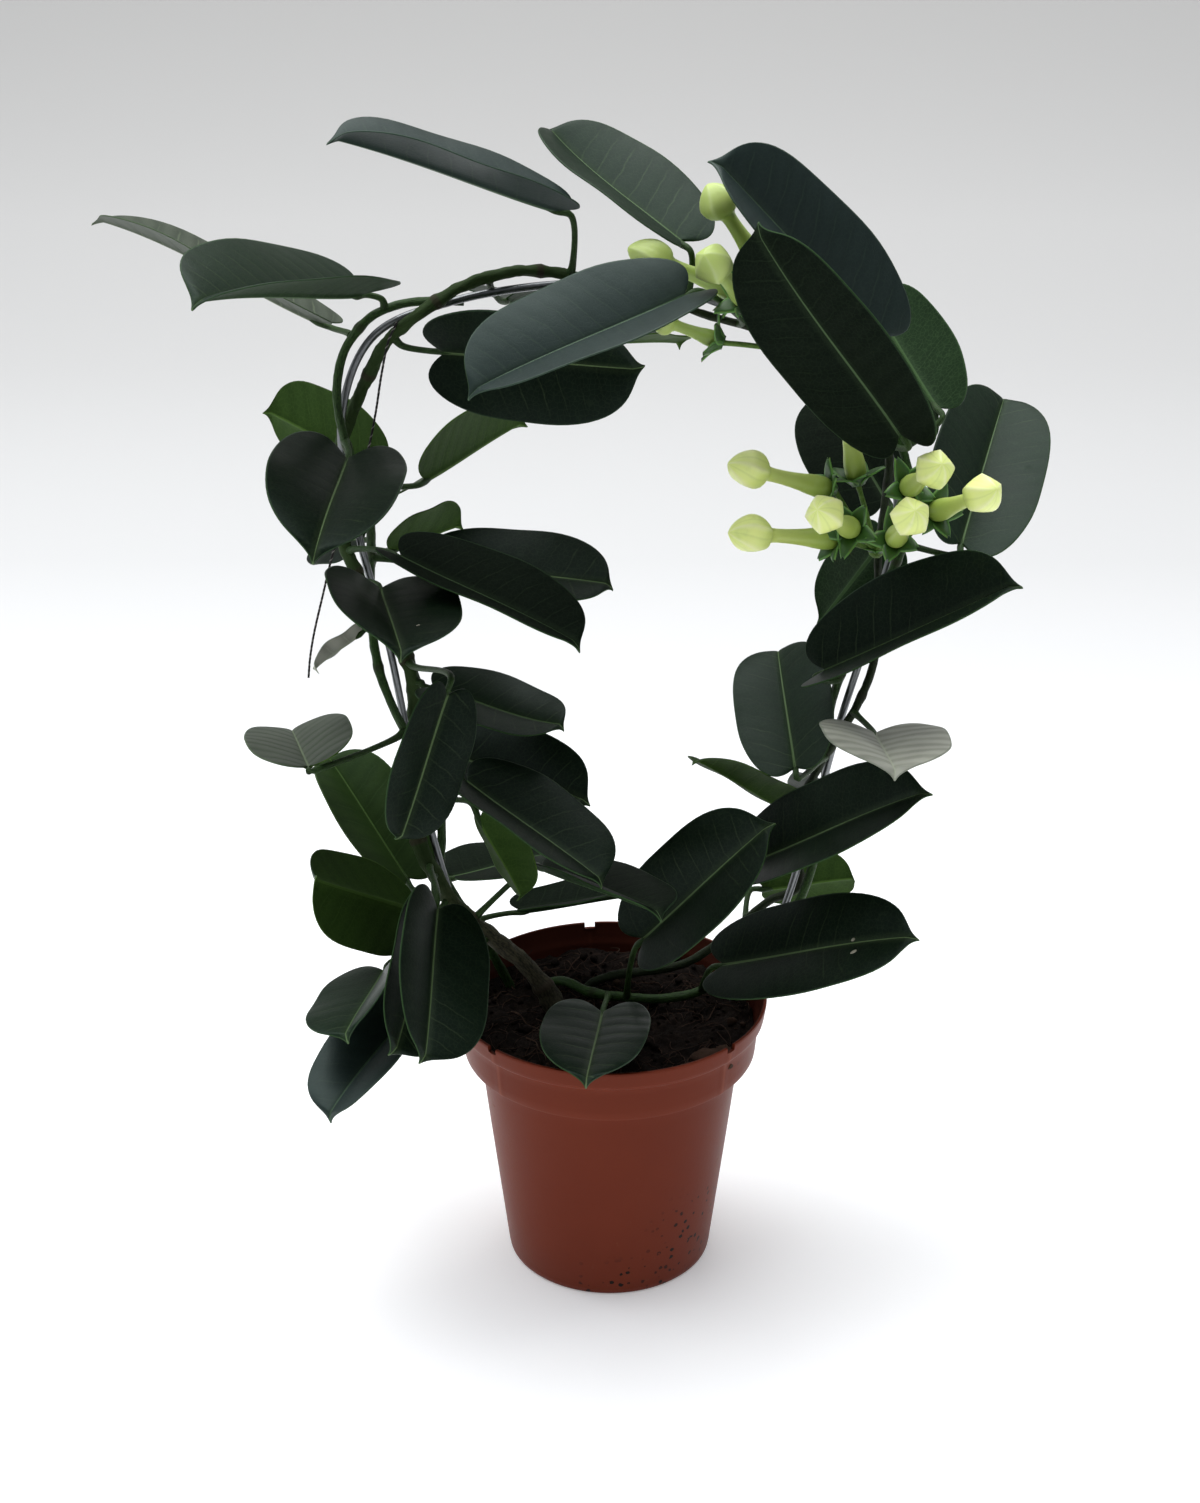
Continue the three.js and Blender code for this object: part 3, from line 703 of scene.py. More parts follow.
bark_finish = stem_finish(
    "bark_finish", (0.012, 0.011, 0.006), (0.05, 0.045, 0.024), (0.035, 0.026, 0.016), 0.75,
    young=(0.025, 0.054, 0.011))
shoot_finish = stem_finish(
    "shoot_finish", (0.013, 0.034, 0.007), (0.036, 0.084, 0.017), (0.022, 0.03, 0.01), 0.5)
dark_shoot_finish = stem_finish(
    "dark_shoot_finish", (0.008, 0.014, 0.005), (0.022, 0.036, 0.011), (0.018, 0.018, 0.01), 0.6)

# The finish, its slot, the length between two joints and how uneven the skin is.
STEM_LOOKS = {
    "vine_left_old": (bark_finish, "vine_bark", 41, 0.3),
    "vine_left_young": (shoot_finish, "vine_green", 47, 0.16),
    "vine_right_green": (shoot_finish, "vine_green", 52, 0.14),
    "vine_right_dark": (dark_shoot_finish, "vine_bark", 45, 0.18),
}
for name, (finish, slot, joint_gap, rugged) in STEM_LOOKS.items():
    vine = VINES[name]
    stem = Shape()
    steps = int(vine.route.length / (1.4 * MM))
    rings = []
    for share, centre, across, over in vine.route.frames(steps):
        run = share * vine.route.length / MM
        off_joint = (run + 0.5 * joint_gap) % joint_gap - 0.5 * joint_gap
        joint = math.exp(-(off_joint / 2.2) ** 2)
        # The foot of the oldest stem is knobby where side shoots were cut away.
        knob = math.exp(-((run - 34) / 5) ** 2) * 0.35 if name == "vine_left_old" else 0.0
        ring = []
        for angle in angles_round(16):
            out = across * math.cos(angle) + over * math.sin(angle)
            lump = noise.noise(centre / MM * 0.16 + out * 1.2) * rugged
            lump += noise.noise(centre / MM * 0.5 + out * 2.1) * rugged * 0.4
            reach = vine.radius(share) * (1 + lump + 0.24 * joint + knob)
            ring.append(stem.point(
                centre + out * reach, run=run, turn=math.cos(angle), side=math.sin(angle),
                joint=joint))
        rings.append(ring)
    stem.skin(rings)
    stem.make(name + "_stem", [finish], slot, name)


# ---- Leaves
# Thick leathery blades, nearly black-green and waxy above, paler below, with a sunken pale
# midrib, a thin light margin and a hooked tip. Each stands on a short stout stalk that springs
# from a shoot.

LEAF_THICKNESS = 0.9
LEAF_CROWN = 0.16
LEAF_HOOK = 2.0
LEAF_WAVE = 0.7
HOOK_START = 0.955
PETIOLE_LENGTH = 13
PETIOLE_BEND = 6
VEIN_GAP = 4.2
# Of half the blade: where each vein leaves the midrib, and how far on and how far out it ends.
LEAF_OUTLINE = [
    (0.0, 0.0, 0.02), (0.002, -0.03, 0.1), (0.006, -0.06, 0.22), (0.014, -0.075, 0.36),
    (0.03, -0.065, 0.5), (0.055, -0.03, 0.64), (0.09, 0.03, 0.77), (0.14, 0.11, 0.875),
    (0.21, 0.2, 0.95), (0.3, 0.3, 0.99), (0.41, 0.42, 1.0), (0.52, 0.54, 0.99),
    (0.62, 0.65, 0.955), (0.71, 0.75, 0.89), (0.79, 0.83, 0.79), (0.85, 0.885, 0.67),
    (0.9, 0.925, 0.53), (0.935, 0.95, 0.38), (0.957, 0.964, 0.25), (0.973, 0.975, 0.14),
    (0.985, 0.985, 0.075), (0.993, 0.993, 0.035), (1.0, 1.0, 0.008),
]
HALF_COLUMNS = (0, 0.025, 0.06, 0.12, 0.22, 0.36, 0.52, 0.68, 0.82, 0.92, 0.975, 1)
LEAF_COLUMNS = [-column for column in HALF_COLUMNS[:0:-1]] + [*HALF_COLUMNS]
UPPER, LOWER, STALK, SCAR = range(4)


def blade_finish(name, dark, light, vein, edge, rough, ribbed=0.12, gloss=0.13, upper=True):
    """Waxy leaf skin: cloudy green, forked side veins, a light margin and a pale midrib.

    ribbed tells how far the side veins stand out, from 0 to 1, and gloss how much it shines.
    """
    blade = Finish(name, IOR=1.45, Specular_IOR_Level=gloss, Specular_Tint=(0.78, 0.98, 0.9, 1))
    reach, run, across = blade.mark("reach"), blade.mark("run"), blade.mark("across")
    cloud = blade.grain(38, 4)
    fine = blade.grain(700, 3)
    wander = (blade.grain(60, 3) - 0.5) * 5.5
    side = blade.node("ShaderNodeMath", {"operation": "SIGN"}, {0: reach}) * 1.9
    flow = run - reach.size() * 0.42 + wander + side
    near_vein = flow.fold(VEIN_GAP)
    side_vein = blade.step(near_vein, 0.55, 0.0) * blade.step(across.size(), 0.93, 0.6)
    between = blade.step(near_vein, 0.2, 3.6)
    net = blade.step(blade.node("ShaderNodeTexVoronoi", {"feature": "DISTANCE_TO_EDGE"}, {
        "Vector": blade.space(), "Scale": 520.0}), 0.09, 0.02)
    midrib = blade.step(reach.size() / (0.85 - run * 0.006), 1.0, 0.5)
    margin = blade.step(across.size(), 0.968, 0.992)
    colour = blade.blend(cloud * 0.75 + between * 0.25, dark, light)
    faded = blade.step(blade.grain(26, 2), 0.36, 0.62)
    colour = blade.blend(side_vein * faded * (0.05 + 0.4 * ribbed), colour, vein)
    colour = blade.blend(net * (0.03 if upper else 0.12), colour, vein)
    colour = blade.blend(blade.step(reach.size(), 3.2, 0.4) * 0.08, colour, vein)
    colour = blade.blend(midrib * (0.7 if upper else 0.6), colour, vein)
    blade.paint("Base Color", blade.blend(margin * 0.4, colour, edge))
    dust = blade.step(blade.grain(95, 5, 0.7), 0.6, 0.75)
    blade.paint("Roughness", cloud * 0.1 + fine * 0.06 + dust * 0.1 + rough)
    swell = blade.grain(75, 2, 0.4)
    blade.relief(between * faded * ribbed + fine * 0.05 + net * -0.04 + swell * 0.7, 0.0003)
    return blade


old_skin = blade_finish(
    "old_leaf_skin", (0.0024, 0.006, 0.003), (0.006, 0.013, 0.0066), (0.14, 0.21, 0.09),
    (0.045, 0.085, 0.04), 0.33)
matt_skin = blade_finish(
    "matt_leaf_skin", (0.0035, 0.0065, 0.0038), (0.0085, 0.0135, 0.0082), (0.1, 0.16, 0.075),
    (0.045, 0.085, 0.04), 0.5, ribbed=0.04, gloss=0.03)
# This skin has more gloss than the others, and its lighter blue-grey colour is partly painted
# sheen, for the gleam on leaves that face up.
waxy_sheen_skin = blade_finish(
    "waxy_sheen_leaf_skin", (0.009, 0.0165, 0.015), (0.016, 0.027, 0.0245), (0.09, 0.15, 0.08),
    (0.05, 0.09, 0.05), 0.36, gloss=0.34)
ribbed_skin = blade_finish(
    "ribbed_leaf_skin", (0.0025, 0.0075, 0.0035), (0.007, 0.017, 0.009), (0.17, 0.24, 0.11),
    (0.05, 0.09, 0.045), 0.3, ribbed=0.45, gloss=0.22)
grown_skin = blade_finish(
    "grown_leaf_skin", (0.0042, 0.0115, 0.0052), (0.0095, 0.023, 0.0098), (0.14, 0.22, 0.09),
    (0.06, 0.11, 0.05), 0.34, ribbed=0.22, gloss=0.18)
# Painted sheen: the grey of this skin stands in for the gloss of leaves that catch the light from
# above.
grey_sheen_skin = blade_finish(
    "grey_sheen_leaf_skin", (0.022, 0.03, 0.02), (0.085, 0.1, 0.072), (0.16, 0.2, 0.12),
    (0.1, 0.16, 0.07), 0.45, ribbed=1.0, gloss=0.15)
# Painted sheen: the pale grey of this skin stands in for the gloss that a leaf shows at a grazing
# angle.
pale_sheen_skin = blade_finish(
    "pale_sheen_leaf_skin", (0.1, 0.108, 0.085), (0.5, 0.5, 0.43), (0.4, 0.43, 0.33),
    (0.16, 0.2, 0.13), 0.45, ribbed=1.0, gloss=0.2)
fresh_skin = blade_finish(
    "fresh_leaf_skin", (0.013, 0.03, 0.006), (0.028, 0.056, 0.012), (0.1, 0.18, 0.05),
    (0.1, 0.17, 0.05), 0.36, gloss=0.1)
old_back = blade_finish(
    "old_leaf_back", (0.007, 0.018, 0.006), (0.014, 0.032, 0.011), (0.07, 0.13, 0.05),
    (0.06, 0.12, 0.045), 0.5, ribbed=0.3, gloss=0.05, upper=False)
# This brighter back is the lighter green of young leaves, and on leaves lit from behind it is also
# painted light, standing in for light shining through the blade.
fresh_backlit_back = blade_finish(
    "fresh_backlit_leaf_back", (0.022, 0.048, 0.009), (0.04, 0.082, 0.016), (0.09, 0.17, 0.035),
    (0.1, 0.18, 0.04), 0.5, ribbed=0.35, gloss=0.05, upper=False)
petiole_finish = stem_finish(
    "petiole_finish", (0.013, 0.032, 0.007), (0.036, 0.078, 0.018), (0.024, 0.03, 0.012), 0.5)

SKINS = {
    "old": (old_skin, old_back), "matt": (matt_skin, old_back), "waxy": (waxy_sheen_skin, old_back),
    "waxy_sheen_both_sides": (waxy_sheen_skin, waxy_sheen_skin), "ribbed": (ribbed_skin, old_back),
    "grown": (grown_skin, old_back), "backlit": (grown_skin, fresh_backlit_back),
    "grey": (grey_sheen_skin, fresh_backlit_back), "grey_sheen": (grey_sheen_skin, grey_sheen_skin),
    "pale": (pale_sheen_skin, pale_sheen_skin), "fresh": (fresh_skin, fresh_backlit_back),
}


scar_finish = Finish("scar_finish", Roughness=0.7)
scar_finish.paint("Base Color", scar_finish.blend(
    scar_finish.grain(900, 2), (0.16, 0.15, 0.1), (0.45, 0.43, 0.34)))


def pointing(start, end):
    """The matrix that stands an upright form on start, pointing to end."""
    turn = Vector((0, 0, 1)).rotation_difference((end - start).normalized())
    return Matrix.Translation(start) @ turn.to_matrix().to_4x4()


def nearest_seat(place):
    """The place on any shoot that is nearest: its centre, its radius and the shoot's heading."""
    best = None
    for vine in VINES.values():
        for share, centre in vine.spots:
            distance = (centre - place).length - vine.radius(share)
            if best is None or distance < best[0]:
                best = (distance, centre, vine.radius(share), vine, share)
    _, centre, radius, vine, share = best
    return centre, radius, vine.route.heading(share)


def sprout(place, goal):
    """Where a stalk starts inside its shoot, and where it has left the shoot squarely."""
    centre, radius, heading = nearest_seat(place)
    out = goal - centre
    out = (out - heading * out.dot(heading)).normalized()
    return [centre + out * radius * 0.5, centre + out * (radius + 2.8 * MM)]


def finer(table):
    """The table with one more row worked out between each two."""
    rows = []
    for i in range(len(table) - 1):
        p0, p1, p2, p3 = (table[min(max(i + k, 0), len(table) - 1)] for k in (-1, 0, 1, 2))
        rows.append(p1)
        rows.append(tuple((9 * (b + c) - a - d) / 16 for a, b, c, d in zip(p0, p1, p2, p3)))
    return [*rows, table[-1]]


LEAF_ROWS = finer(LEAF_OUTLINE)


class Leaf:
    """A blade from its base to its tip, in millimetres, whose upper side faces the way facing."""

    def __init__(self, base, tip, facing, width, fold, arch=1.5, root=None, look="old", nibbles=()):
        self.base = mm(*base)
        self.width, self.fold, self.arch = width * MM, math.radians(fold), arch * MM
        self.look, self.nibbles = look, nibbles
        along = mm(*tip) - self.base
        self.length = along.length
        self.ahead = along.normalized()
        facing = Vector(facing)
        self.up = (facing - self.ahead * facing.dot(self.ahead)).normalized()
        self.left = self.up.cross(self.ahead)
        self.root = mm(*root) if root else self.base - self.ahead * PETIOLE_LENGTH * MM
        self.phase = chance.uniform(0, 6.28)

    def surface(self, start, end, half, column):
        """The middle of the blade's thickness and the way out of its upper side.

        The place's share of the length and its reach from the midrib come with them.
        """
        share = mix(start, end, abs(column) ** 1.5)
        inside = min(max(share, 0), 1)
        reach = self.width / 2 * half * column
        rise = abs(reach) * (math.sin(self.fold) + LEAF_CROWN * (1 - abs(column)))
        rise += self.arch * 6.75 * share ** 2 * (1 - share)
        past_hook = max(0, (share - HOOK_START) / (1 - HOOK_START))
        rise += LEAF_HOOK * MM * (min(inside / HOOK_START, 1) ** 4 - past_hook ** 1.3)
        swing = share * 9 + self.phase + (1.3 if column > 0 else 0)
        rise += LEAF_WAVE * MM * column ** 2 * math.sin(swing) * math.sin(math.pi * inside)
        place = self.base + self.ahead * share * self.length + self.up * rise
        place += self.left * reach * math.cos(self.fold)
        slope = math.copysign(math.sin(self.fold), column) if column else 0
        return place, (self.up * math.cos(self.fold) - self.left * slope).normalized(), share, reach

    def grow(self, name):
        """Makes the blade with its stalk and its scars."""
        shape = Shape()
        rings = []
        for start, end, half in LEAF_ROWS:
            upper, lower = [], []
            for column in LEAF_COLUMNS:
                place, out, share, reach = self.surface(start, end, half, column)
                thick = LEAF_THICKNESS * MM * (1 - 0.45 * abs(column) ** 3)
                marks = {"reach": reach / MM, "run": share * self.length / MM, "across": column}
                narrow = (abs(reach) / (1.1 * MM)) ** 2
                groove = 0.22 * MM * math.exp(-narrow * 2)
                ridge = (1.0 - 0.7 * max(share, 0)) * MM * math.exp(-narrow * 1.2)
                upper.append(shape.point(place + out * (thick / 2 - groove), **marks))
                lower.append(shape.point(place - out * (thick / 2 + ridge), **marks))
            rings.append(upper + lower[::-1])
        shape.skin(rings, lambda j: UPPER if j < len(LEAF_COLUMNS) else LOWER)
        behind = self.base - self.ahead * PETIOLE_BEND * MM
        spots = [
            *sprout(self.root, behind), behind - self.up * 0.5 * MM,
            self.base - self.up * 0.7 * MM, self.base + self.ahead * 4 * MM - self.up * 0.5 * MM]
        # The stalk is thickest where it is jointed to the shoot, and flattens into the midrib.
        shape.rod(Route(spots), lambda share: MM * (
            1.15 + 0.65 * math.exp(-share * 9) + 0.2 * math.exp(-((share - 0.85) / 0.12) ** 2)
            - 0.45 * max(0, share - 0.85) / 0.15), 12, 30, STALK)
        # A nibbled spot is a dry scar, given by its place on the outline's table and its size.
        for start, end, half, column, size in self.nibbles:
            place, out, _, _ = self.surface(start, end, half, column)
            shape.turned([(0.01, 0), (size, 0), (size * 0.8, 0.12), (0.01, 0.16)], 14,
                         pointing(place + out * LEAF_THICKNESS / 2 * MM, place + out)
                         @ Matrix.Diagonal((MM, 0.6 * MM, MM, 1)), SCAR)
        finishes = [*SKINS[self.look], petiole_finish, scar_finish]
        shape.make(name + "_grown", finishes, "leaf_blade", name)


# Base, tip and the way it faces, its width, and by how much each half is folded up.
LEAVES = {
    "leaf_01": Leaf((-111, 30, 392), (-198, 49, 425), (0.4, 0.1, 0.9), 41, 15, arch=3.5,
                    look="grey_sheen"),
    "leaf_02": Leaf((-93, 9, 406), (-139, -72, 417), (0.2, 0, 1), 55, 28, arch=2.5, look="grown"),
    "leaf_03": Leaf((-20, 2, 438), (-98, -22, 464), (0.3, 0, 0.9), 37, 32, arch=2, look="waxy_sheen_both_sides"),
    "leaf_04": Leaf((25, 12, 425), (-25, 51, 459), (0.3, -0.3, 0.9), 51, 22, arch=-1,
                    root=(27, 9, 401), look="grown"),
    "leaf_05": Leaf((99, 2, 392), (34, -14, 457), (0.6, -0.6, 0.5), 51, 24, arch=1, look="waxy"),
    "leaf_06": Leaf((104, -26, 363), (50, -40, 440), (-0.5, -0.8, -0.3), 50, 10, arch=3,
                    look="matt"),
    "leaf_07": Leaf((124, 20, 361), (101, 90, 392), (0.8, 0.4, -0.4), 40, 19, look="grown"),
    "leaf_08": Leaf((134, 5, 312), (160, 84, 349), (0.3, -0.4, 0.9), 50, 25, arch=0.5,
                    look="grown"),
    "leaf_09": Leaf((108, 36, 321), (88, 94, 349), (-0.6, -0.6, 0.6), 42, 18, look="matt"),
    "leaf_10": Leaf((106, 24, 306), (85, 50, 264), (0.6, 0.8, 0.1), 34, 18, look="grown"),
    "leaf_11": Leaf((84, 0, 262), (150, -38, 309), (-0.7, -0.3, 0.7), 50, 34, arch=1),
    "leaf_12": Leaf((72, -14, 227), (70, 56, 249), (-0.3, -0.3, 0.9), 42, 19, arch=2.5,
                    look="grown"),
    "leaf_13": Leaf((76, 7, 197), (32, -13, 228), (0.5, 0.6, 0.7), 42, 10, root=(78, 16, 197),
                    look="fresh"),
    "leaf_14": Leaf((102, -16, 242), (102, -78, 250), (0.05, 0, 1), 50, 16, look="pale"),
    "leaf_15": Leaf((59, -14, 187), (118, -62, 237), (-0.8, -0.3, 0.5), 41, 26, arch=2.5),
    "leaf_16": Leaf((66, 40, 148), (103, 30, 156), (-0.1, 0.9, 0.3), 34, 12, look="fresh"),
    "leaf_17": Leaf((46, -16, 141), (116, -66, 179), (-0.6, -0.4, 0.7), 43, 14, arch=3,
                    nibbles=[(0.73, 0.77, 0.865, -0.28, 1.5), (0.71, 0.75, 0.89, 0.07, 1.0)]),
    "leaf_18": Leaf((14, -14, 152), (63, -36, 213), (-0.6, -0.7, 0.4), 45, 22, arch=2),
    "leaf_19": Leaf((-28, 4, 175), (19, -74, 191), (0.2, 0.1, 1), 41, 20, look="matt"),
    "leaf_20": Leaf((-67, -40, 178), (-70, -98, 144), (0.7, -0.5, 0.5), 48, 20),
    "leaf_21": Leaf((-71, -24, 169), (-83, -82, 138), (0.8, -0.4, 0.4), 44, 16),
    "leaf_22": Leaf((-90, -27, 144), (-99, -78, 141), (-0.5, 0, 0.9), 44, 20, root=(-60, 8, 152),
                    look="grown"),
    "leaf_23": Leaf((-77, -34, 133), (-107, -80, 107), (-0.4, -0.3, 0.9), 41, 20, arch=2.5,
                    root=(-50, 6, 143), look="waxy"),
    "leaf_24": Leaf((-79, -10, 162), (-113, -42, 193), (-0.7, 0.4, -0.6), 44, 18, look="backlit"),
    "leaf_25": Leaf((-84, 16, 164), (-121, 58, 200), (0.1, -0.2, 1), 42, 28, look="fresh"),
    "leaf_26": Leaf((-114, -38, 237), (-130, 30, 222), (-0.1, 0, 1), 44, 20, root=(-84, 12, 232),
                    look="grey"),
    "leaf_27": Leaf((-60, -50, 271), (-79, -68, 221), (0.7, -0.7, 0.1), 36, 12,
                    root=(-79, 16, 262)),
    "leaf_28": Leaf((-70, 12, 250), (-18, -8, 240), (0.1, -0.2, 1), 39, 10, arch=-1, look="grown"),
    "leaf_29": Leaf((-62, 22, 216), (-8, -19, 213), (-0.4, -0.4, 0.8), 40, 20, arch=2),
    "leaf_30": Leaf((-55, -29, 227), (-3, -65, 200), (0.4, -0.2, 0.9), 47, 22, root=(-72, 14, 208)),
    "leaf_31": Leaf((-51, -16, 206), (-36, -30, 177), (0.8, 0.6, 0.2), 38, 14, root=(-71, 15, 203),
                    look="fresh"),
    "leaf_32": Leaf((-67, 50, 148), (-28, 84, 140), (0, 0.1, 1), 44, 10, look="matt"),
    "leaf_33": Leaf((-37, 28, 143), (18, 40, 143), (0, 0.2, 1), 36, 18, look="matt"),
    "leaf_34": Leaf((-98, -7, 348), (-102, -82, 332), (0.2, -0.2, 1), 53, 25, arch=4.5),
    "leaf_35": Leaf((-92, 34, 334), (-138, 56, 350), (0.4, 0.8, 0.2), 42, 10, look="fresh"),
    "leaf_36": Leaf((-72, 22, 332), (-35, 90, 336), (-0.7, 0.4, 0.6), 44, 23, look="fresh"),
    "leaf_37": Leaf((-88, 36, 299), (-60, 58, 301), (-0.3, 0.5, 0.7), 36, 20, look="fresh"),
    "leaf_38": Leaf((-98, 29, 306), (-118, 54, 295), (-0.7, -0.2, 0.6), 27, 12),
    "leaf_39": Leaf((-87, -12, 299), (-73, -84, 297), (0.2, 0, 1), 53, 22,
                    nibbles=[(0.71, 0.75, 0.89, 0.35, 0.8)]),
    "leaf_40": Leaf((-68, 18, 299), (1, 6, 293), (0, -0.4, 0.9), 42, 14),
    "leaf_41": Leaf((-79, -10, 311), (-11, -55, 290), (0.2, -0.2, 0.9), 42, 25, arch=2,
                    look="matt"),
    "leaf_42": Leaf((26, -19, 411), (-48, -73, 387), (0, -0.4, 0.9), 48, 27, arch=2,
                    root=(53, 5, 401),
                    look="waxy"),
    "leaf_43": Leaf((-62, 7, 385), (12, -20, 386), (-0.4, -0.9, -0.2), 46, 20),
    "leaf_44": Leaf((-4, 34, 384), (27, 56, 376), (0.2, 0.2, 1), 37, 14, look="backlit"),
    "leaf_45": Leaf((-3, -20, 121), (-9, -80, 123), (0, 0, 1), 45, 18, look="ribbed"),
    "leaf_46": Leaf((-97, 3, 277), (-112, -14, 266), (-0.6, 0.5, 0.6), 15, 14, look="pale"),
    "leaf_47": Leaf((-40, 30, 400), (-20, 88, 385), (0, 0.4, 0.9), 44, 18),
    "leaf_48": Leaf((75, 30, 380), (60, 88, 388), (0, 0.3, 0.9), 44, 18),
    "leaf_49": Leaf((92, 30, 188), (98, 84, 174), (0.1, 0.3, 0.9), 42, 18),
}
for name, leaf in LEAVES.items():
    leaf.grow(name)


# ---- Bud clusters
# Waxy pale buds in loose clusters on short green stalks. Each is a slim tube that swells to a
# five-ridged head with a twisted point, and stands in five dark spoon-shaped sepals.

BUD_LENGTH = 43.5
BUD_OUTLINE = [
    (0.3, -0.4), (2.4, 0), (3.5, 1.5), (4.1, 4), (4.15, 7), (3.8, 10), (3.3, 13), (2.9, 17),
    (2.65, 21), (2.6, 25), (2.8, 27), (3.5, 28), (4.8, 28.7), (6.1, 29.9), (6.95, 31.5),
    (7.4, 33.2), (7.45, 34.8), (7.1, 36.3), (6.4, 37.8), (5.5, 39.3), (4.3, 40.8), (2.9, 42.1),
    (1.4, 43.1), (0.2, 43.5),
]
HEAD_START = 27
HEAD_FACE_POINTS = 10
TWIST_START = 33
SEPAL_SIZE = 8.2
BUD, SEPAL, PEDICEL = range(3)

bud_finish = Finish(
    "bud_finish", IOR=1.45, Subsurface_Weight=0.25, Subsurface_Scale=0.004,
    Subsurface_Radius=(1.0, 1.0, 0.5))
bud_grain = bud_finish.grain(170, 3)
bud_colour = bud_finish.node("ShaderNodeValToRGB", {"stops": [
    (0.02, (0.2, 0.3, 0.04)), (0.22, (0.36, 0.47, 0.09)), (0.55, (0.52, 0.61, 0.17)),
    (0.68, (0.7, 0.81, 0.23)), (0.84, (0.86, 0.95, 0.34)), (1.0, (0.82, 0.93, 0.31))]},
    {"Fac": bud_finish.mark("share")})
# The ridges of the heads are painted near white, a painted highlight along them; the top cluster is
# painted a less ripe green, and each seam a darker green.
for mark, strength, colour in [("ridge", 0.6, (0.95, 0.99, 0.6)), ("unripe", 0.6, (0.3, 0.44, 0.1)),
                               ("seam", 0.25, (0.5, 0.6, 0.2))]:
    bud_colour = bud_finish.blend(bud_finish.mark(mark) * strength, bud_colour, colour)
bud_finish.paint("Base Color", bud_finish.blend(
    bud_finish.step(bud_grain, 0.5, 0.8) * 0.3, bud_colour, (0.5, 0.62, 0.22)))
bud_finish.paint("Roughness", bud_grain * 0.2 + 0.3)
bud_finish.relief(bud_finish.grain(600, 3), 0.00008)

sepal_finish = Finish("sepal_finish", Subsurface_Weight=0.05, Subsurface_Scale=0.002)
sepal_edge = sepal_finish.mark("across").size()
sepal_finish.paint("Base Color", sepal_finish.blend(
    sepal_finish.step(sepal_edge, 0.7, 1.0) * 0.8,
    sepal_finish.blend(sepal_finish.grain(220, 3), (0.018, 0.06, 0.01), (0.045, 0.13, 0.02)),
    (0.12, 0.3, 0.05)))
sepal_finish.paint("Roughness", sepal_finish.grain(500) * 0.2 + 0.35)

pedicel_finish = stem_finish(
    "pedicel_finish", (0.06, 0.13, 0.02), (0.18, 0.3, 0.06), (0.1, 0.14, 0.04), 0.5)


def bud(shape, place, stretch, unripe):
    """One bud: tube and five-sided head, turned a little to one side at its point."""
    girth = min(1, stretch * 1.2)
    start_turn = chance.uniform(0, 6.28)
    fifth = 2 * math.pi / 5
    rings = []
    for radius, height in BUD_OUTLINE:
        full = max(0, min(1, (height - HEAD_START) / 4))
        twist = start_turn + max(0, height - TWIST_START) * 0.035
        ring = []
        for j in range(5 * HEAD_FACE_POINTS):
            # Flat faces meet in five ridges on the head, and a seam runs down the middle of each.
            past_ridge = j % HEAD_FACE_POINTS
            off_seam = past_ridge / HEAD_FACE_POINTS - 0.5
            flat = math.cos(fifth / 2) / math.cos(off_seam * fifth)
            ridge = full * {0: 1.0, 1: 0.4, HEAD_FACE_POINTS - 1: 0.4}.get(past_ridge, 0.0)
            seam = full * (off_seam == 0)
            reach = radius * girth * (1 - full * 0.7 * (1 - flat) - 0.02 * seam)
            angle = twist + fifth * j / HEAD_FACE_POINTS
            spot = Vector((*polar(reach, angle), height * stretch)) * MM
            ring.append(shape.point(
                place @ spot, share=height / BUD_LENGTH, ridge=ridge, seam=seam, unripe=unripe))
        rings.append(ring)
    shape.skin(rings, BUD)


def sepal(shape, place, angle, size, spread):
    """A small spoon-shaped leaf that hugs the foot of the bud and turns out at its tip."""
    rows = 9
    rings = []
    turn = place @ Matrix.Rotation(angle, 4, "Z")
    for i in range(rows):
        share = i / (rows - 1)
        half = size * 0.44 * math.sin(math.pi * min(0.97, 0.16 + 0.8 * share)) ** 0.8
        out = 2.2 + size * (0.34 * share + spread * share ** 2.4)
        height = -1 + size * (0.95 * share - 0.35 * spread * share ** 2)
        upper, lower = [], []
        for column in (-1, -0.5, 0, 0.5, 1):
            curl = 0.22 * size * (column ** 2) * (0.4 - share)
            tuck = abs(column) * half * 0.35 * (1 - share)
            spot = Vector((out - curl * 0.8 - tuck, column * half, height + curl * 0.3))
            upper.append(shape.point(turn @ (spot * MM), across=column))
            lower.append(shape.point(turn @ ((spot + Vector((0.5, 0, -0.35))) * MM), across=column))
        rings.append(upper + lower[::-1])
    shape.skin(rings, SEPAL)


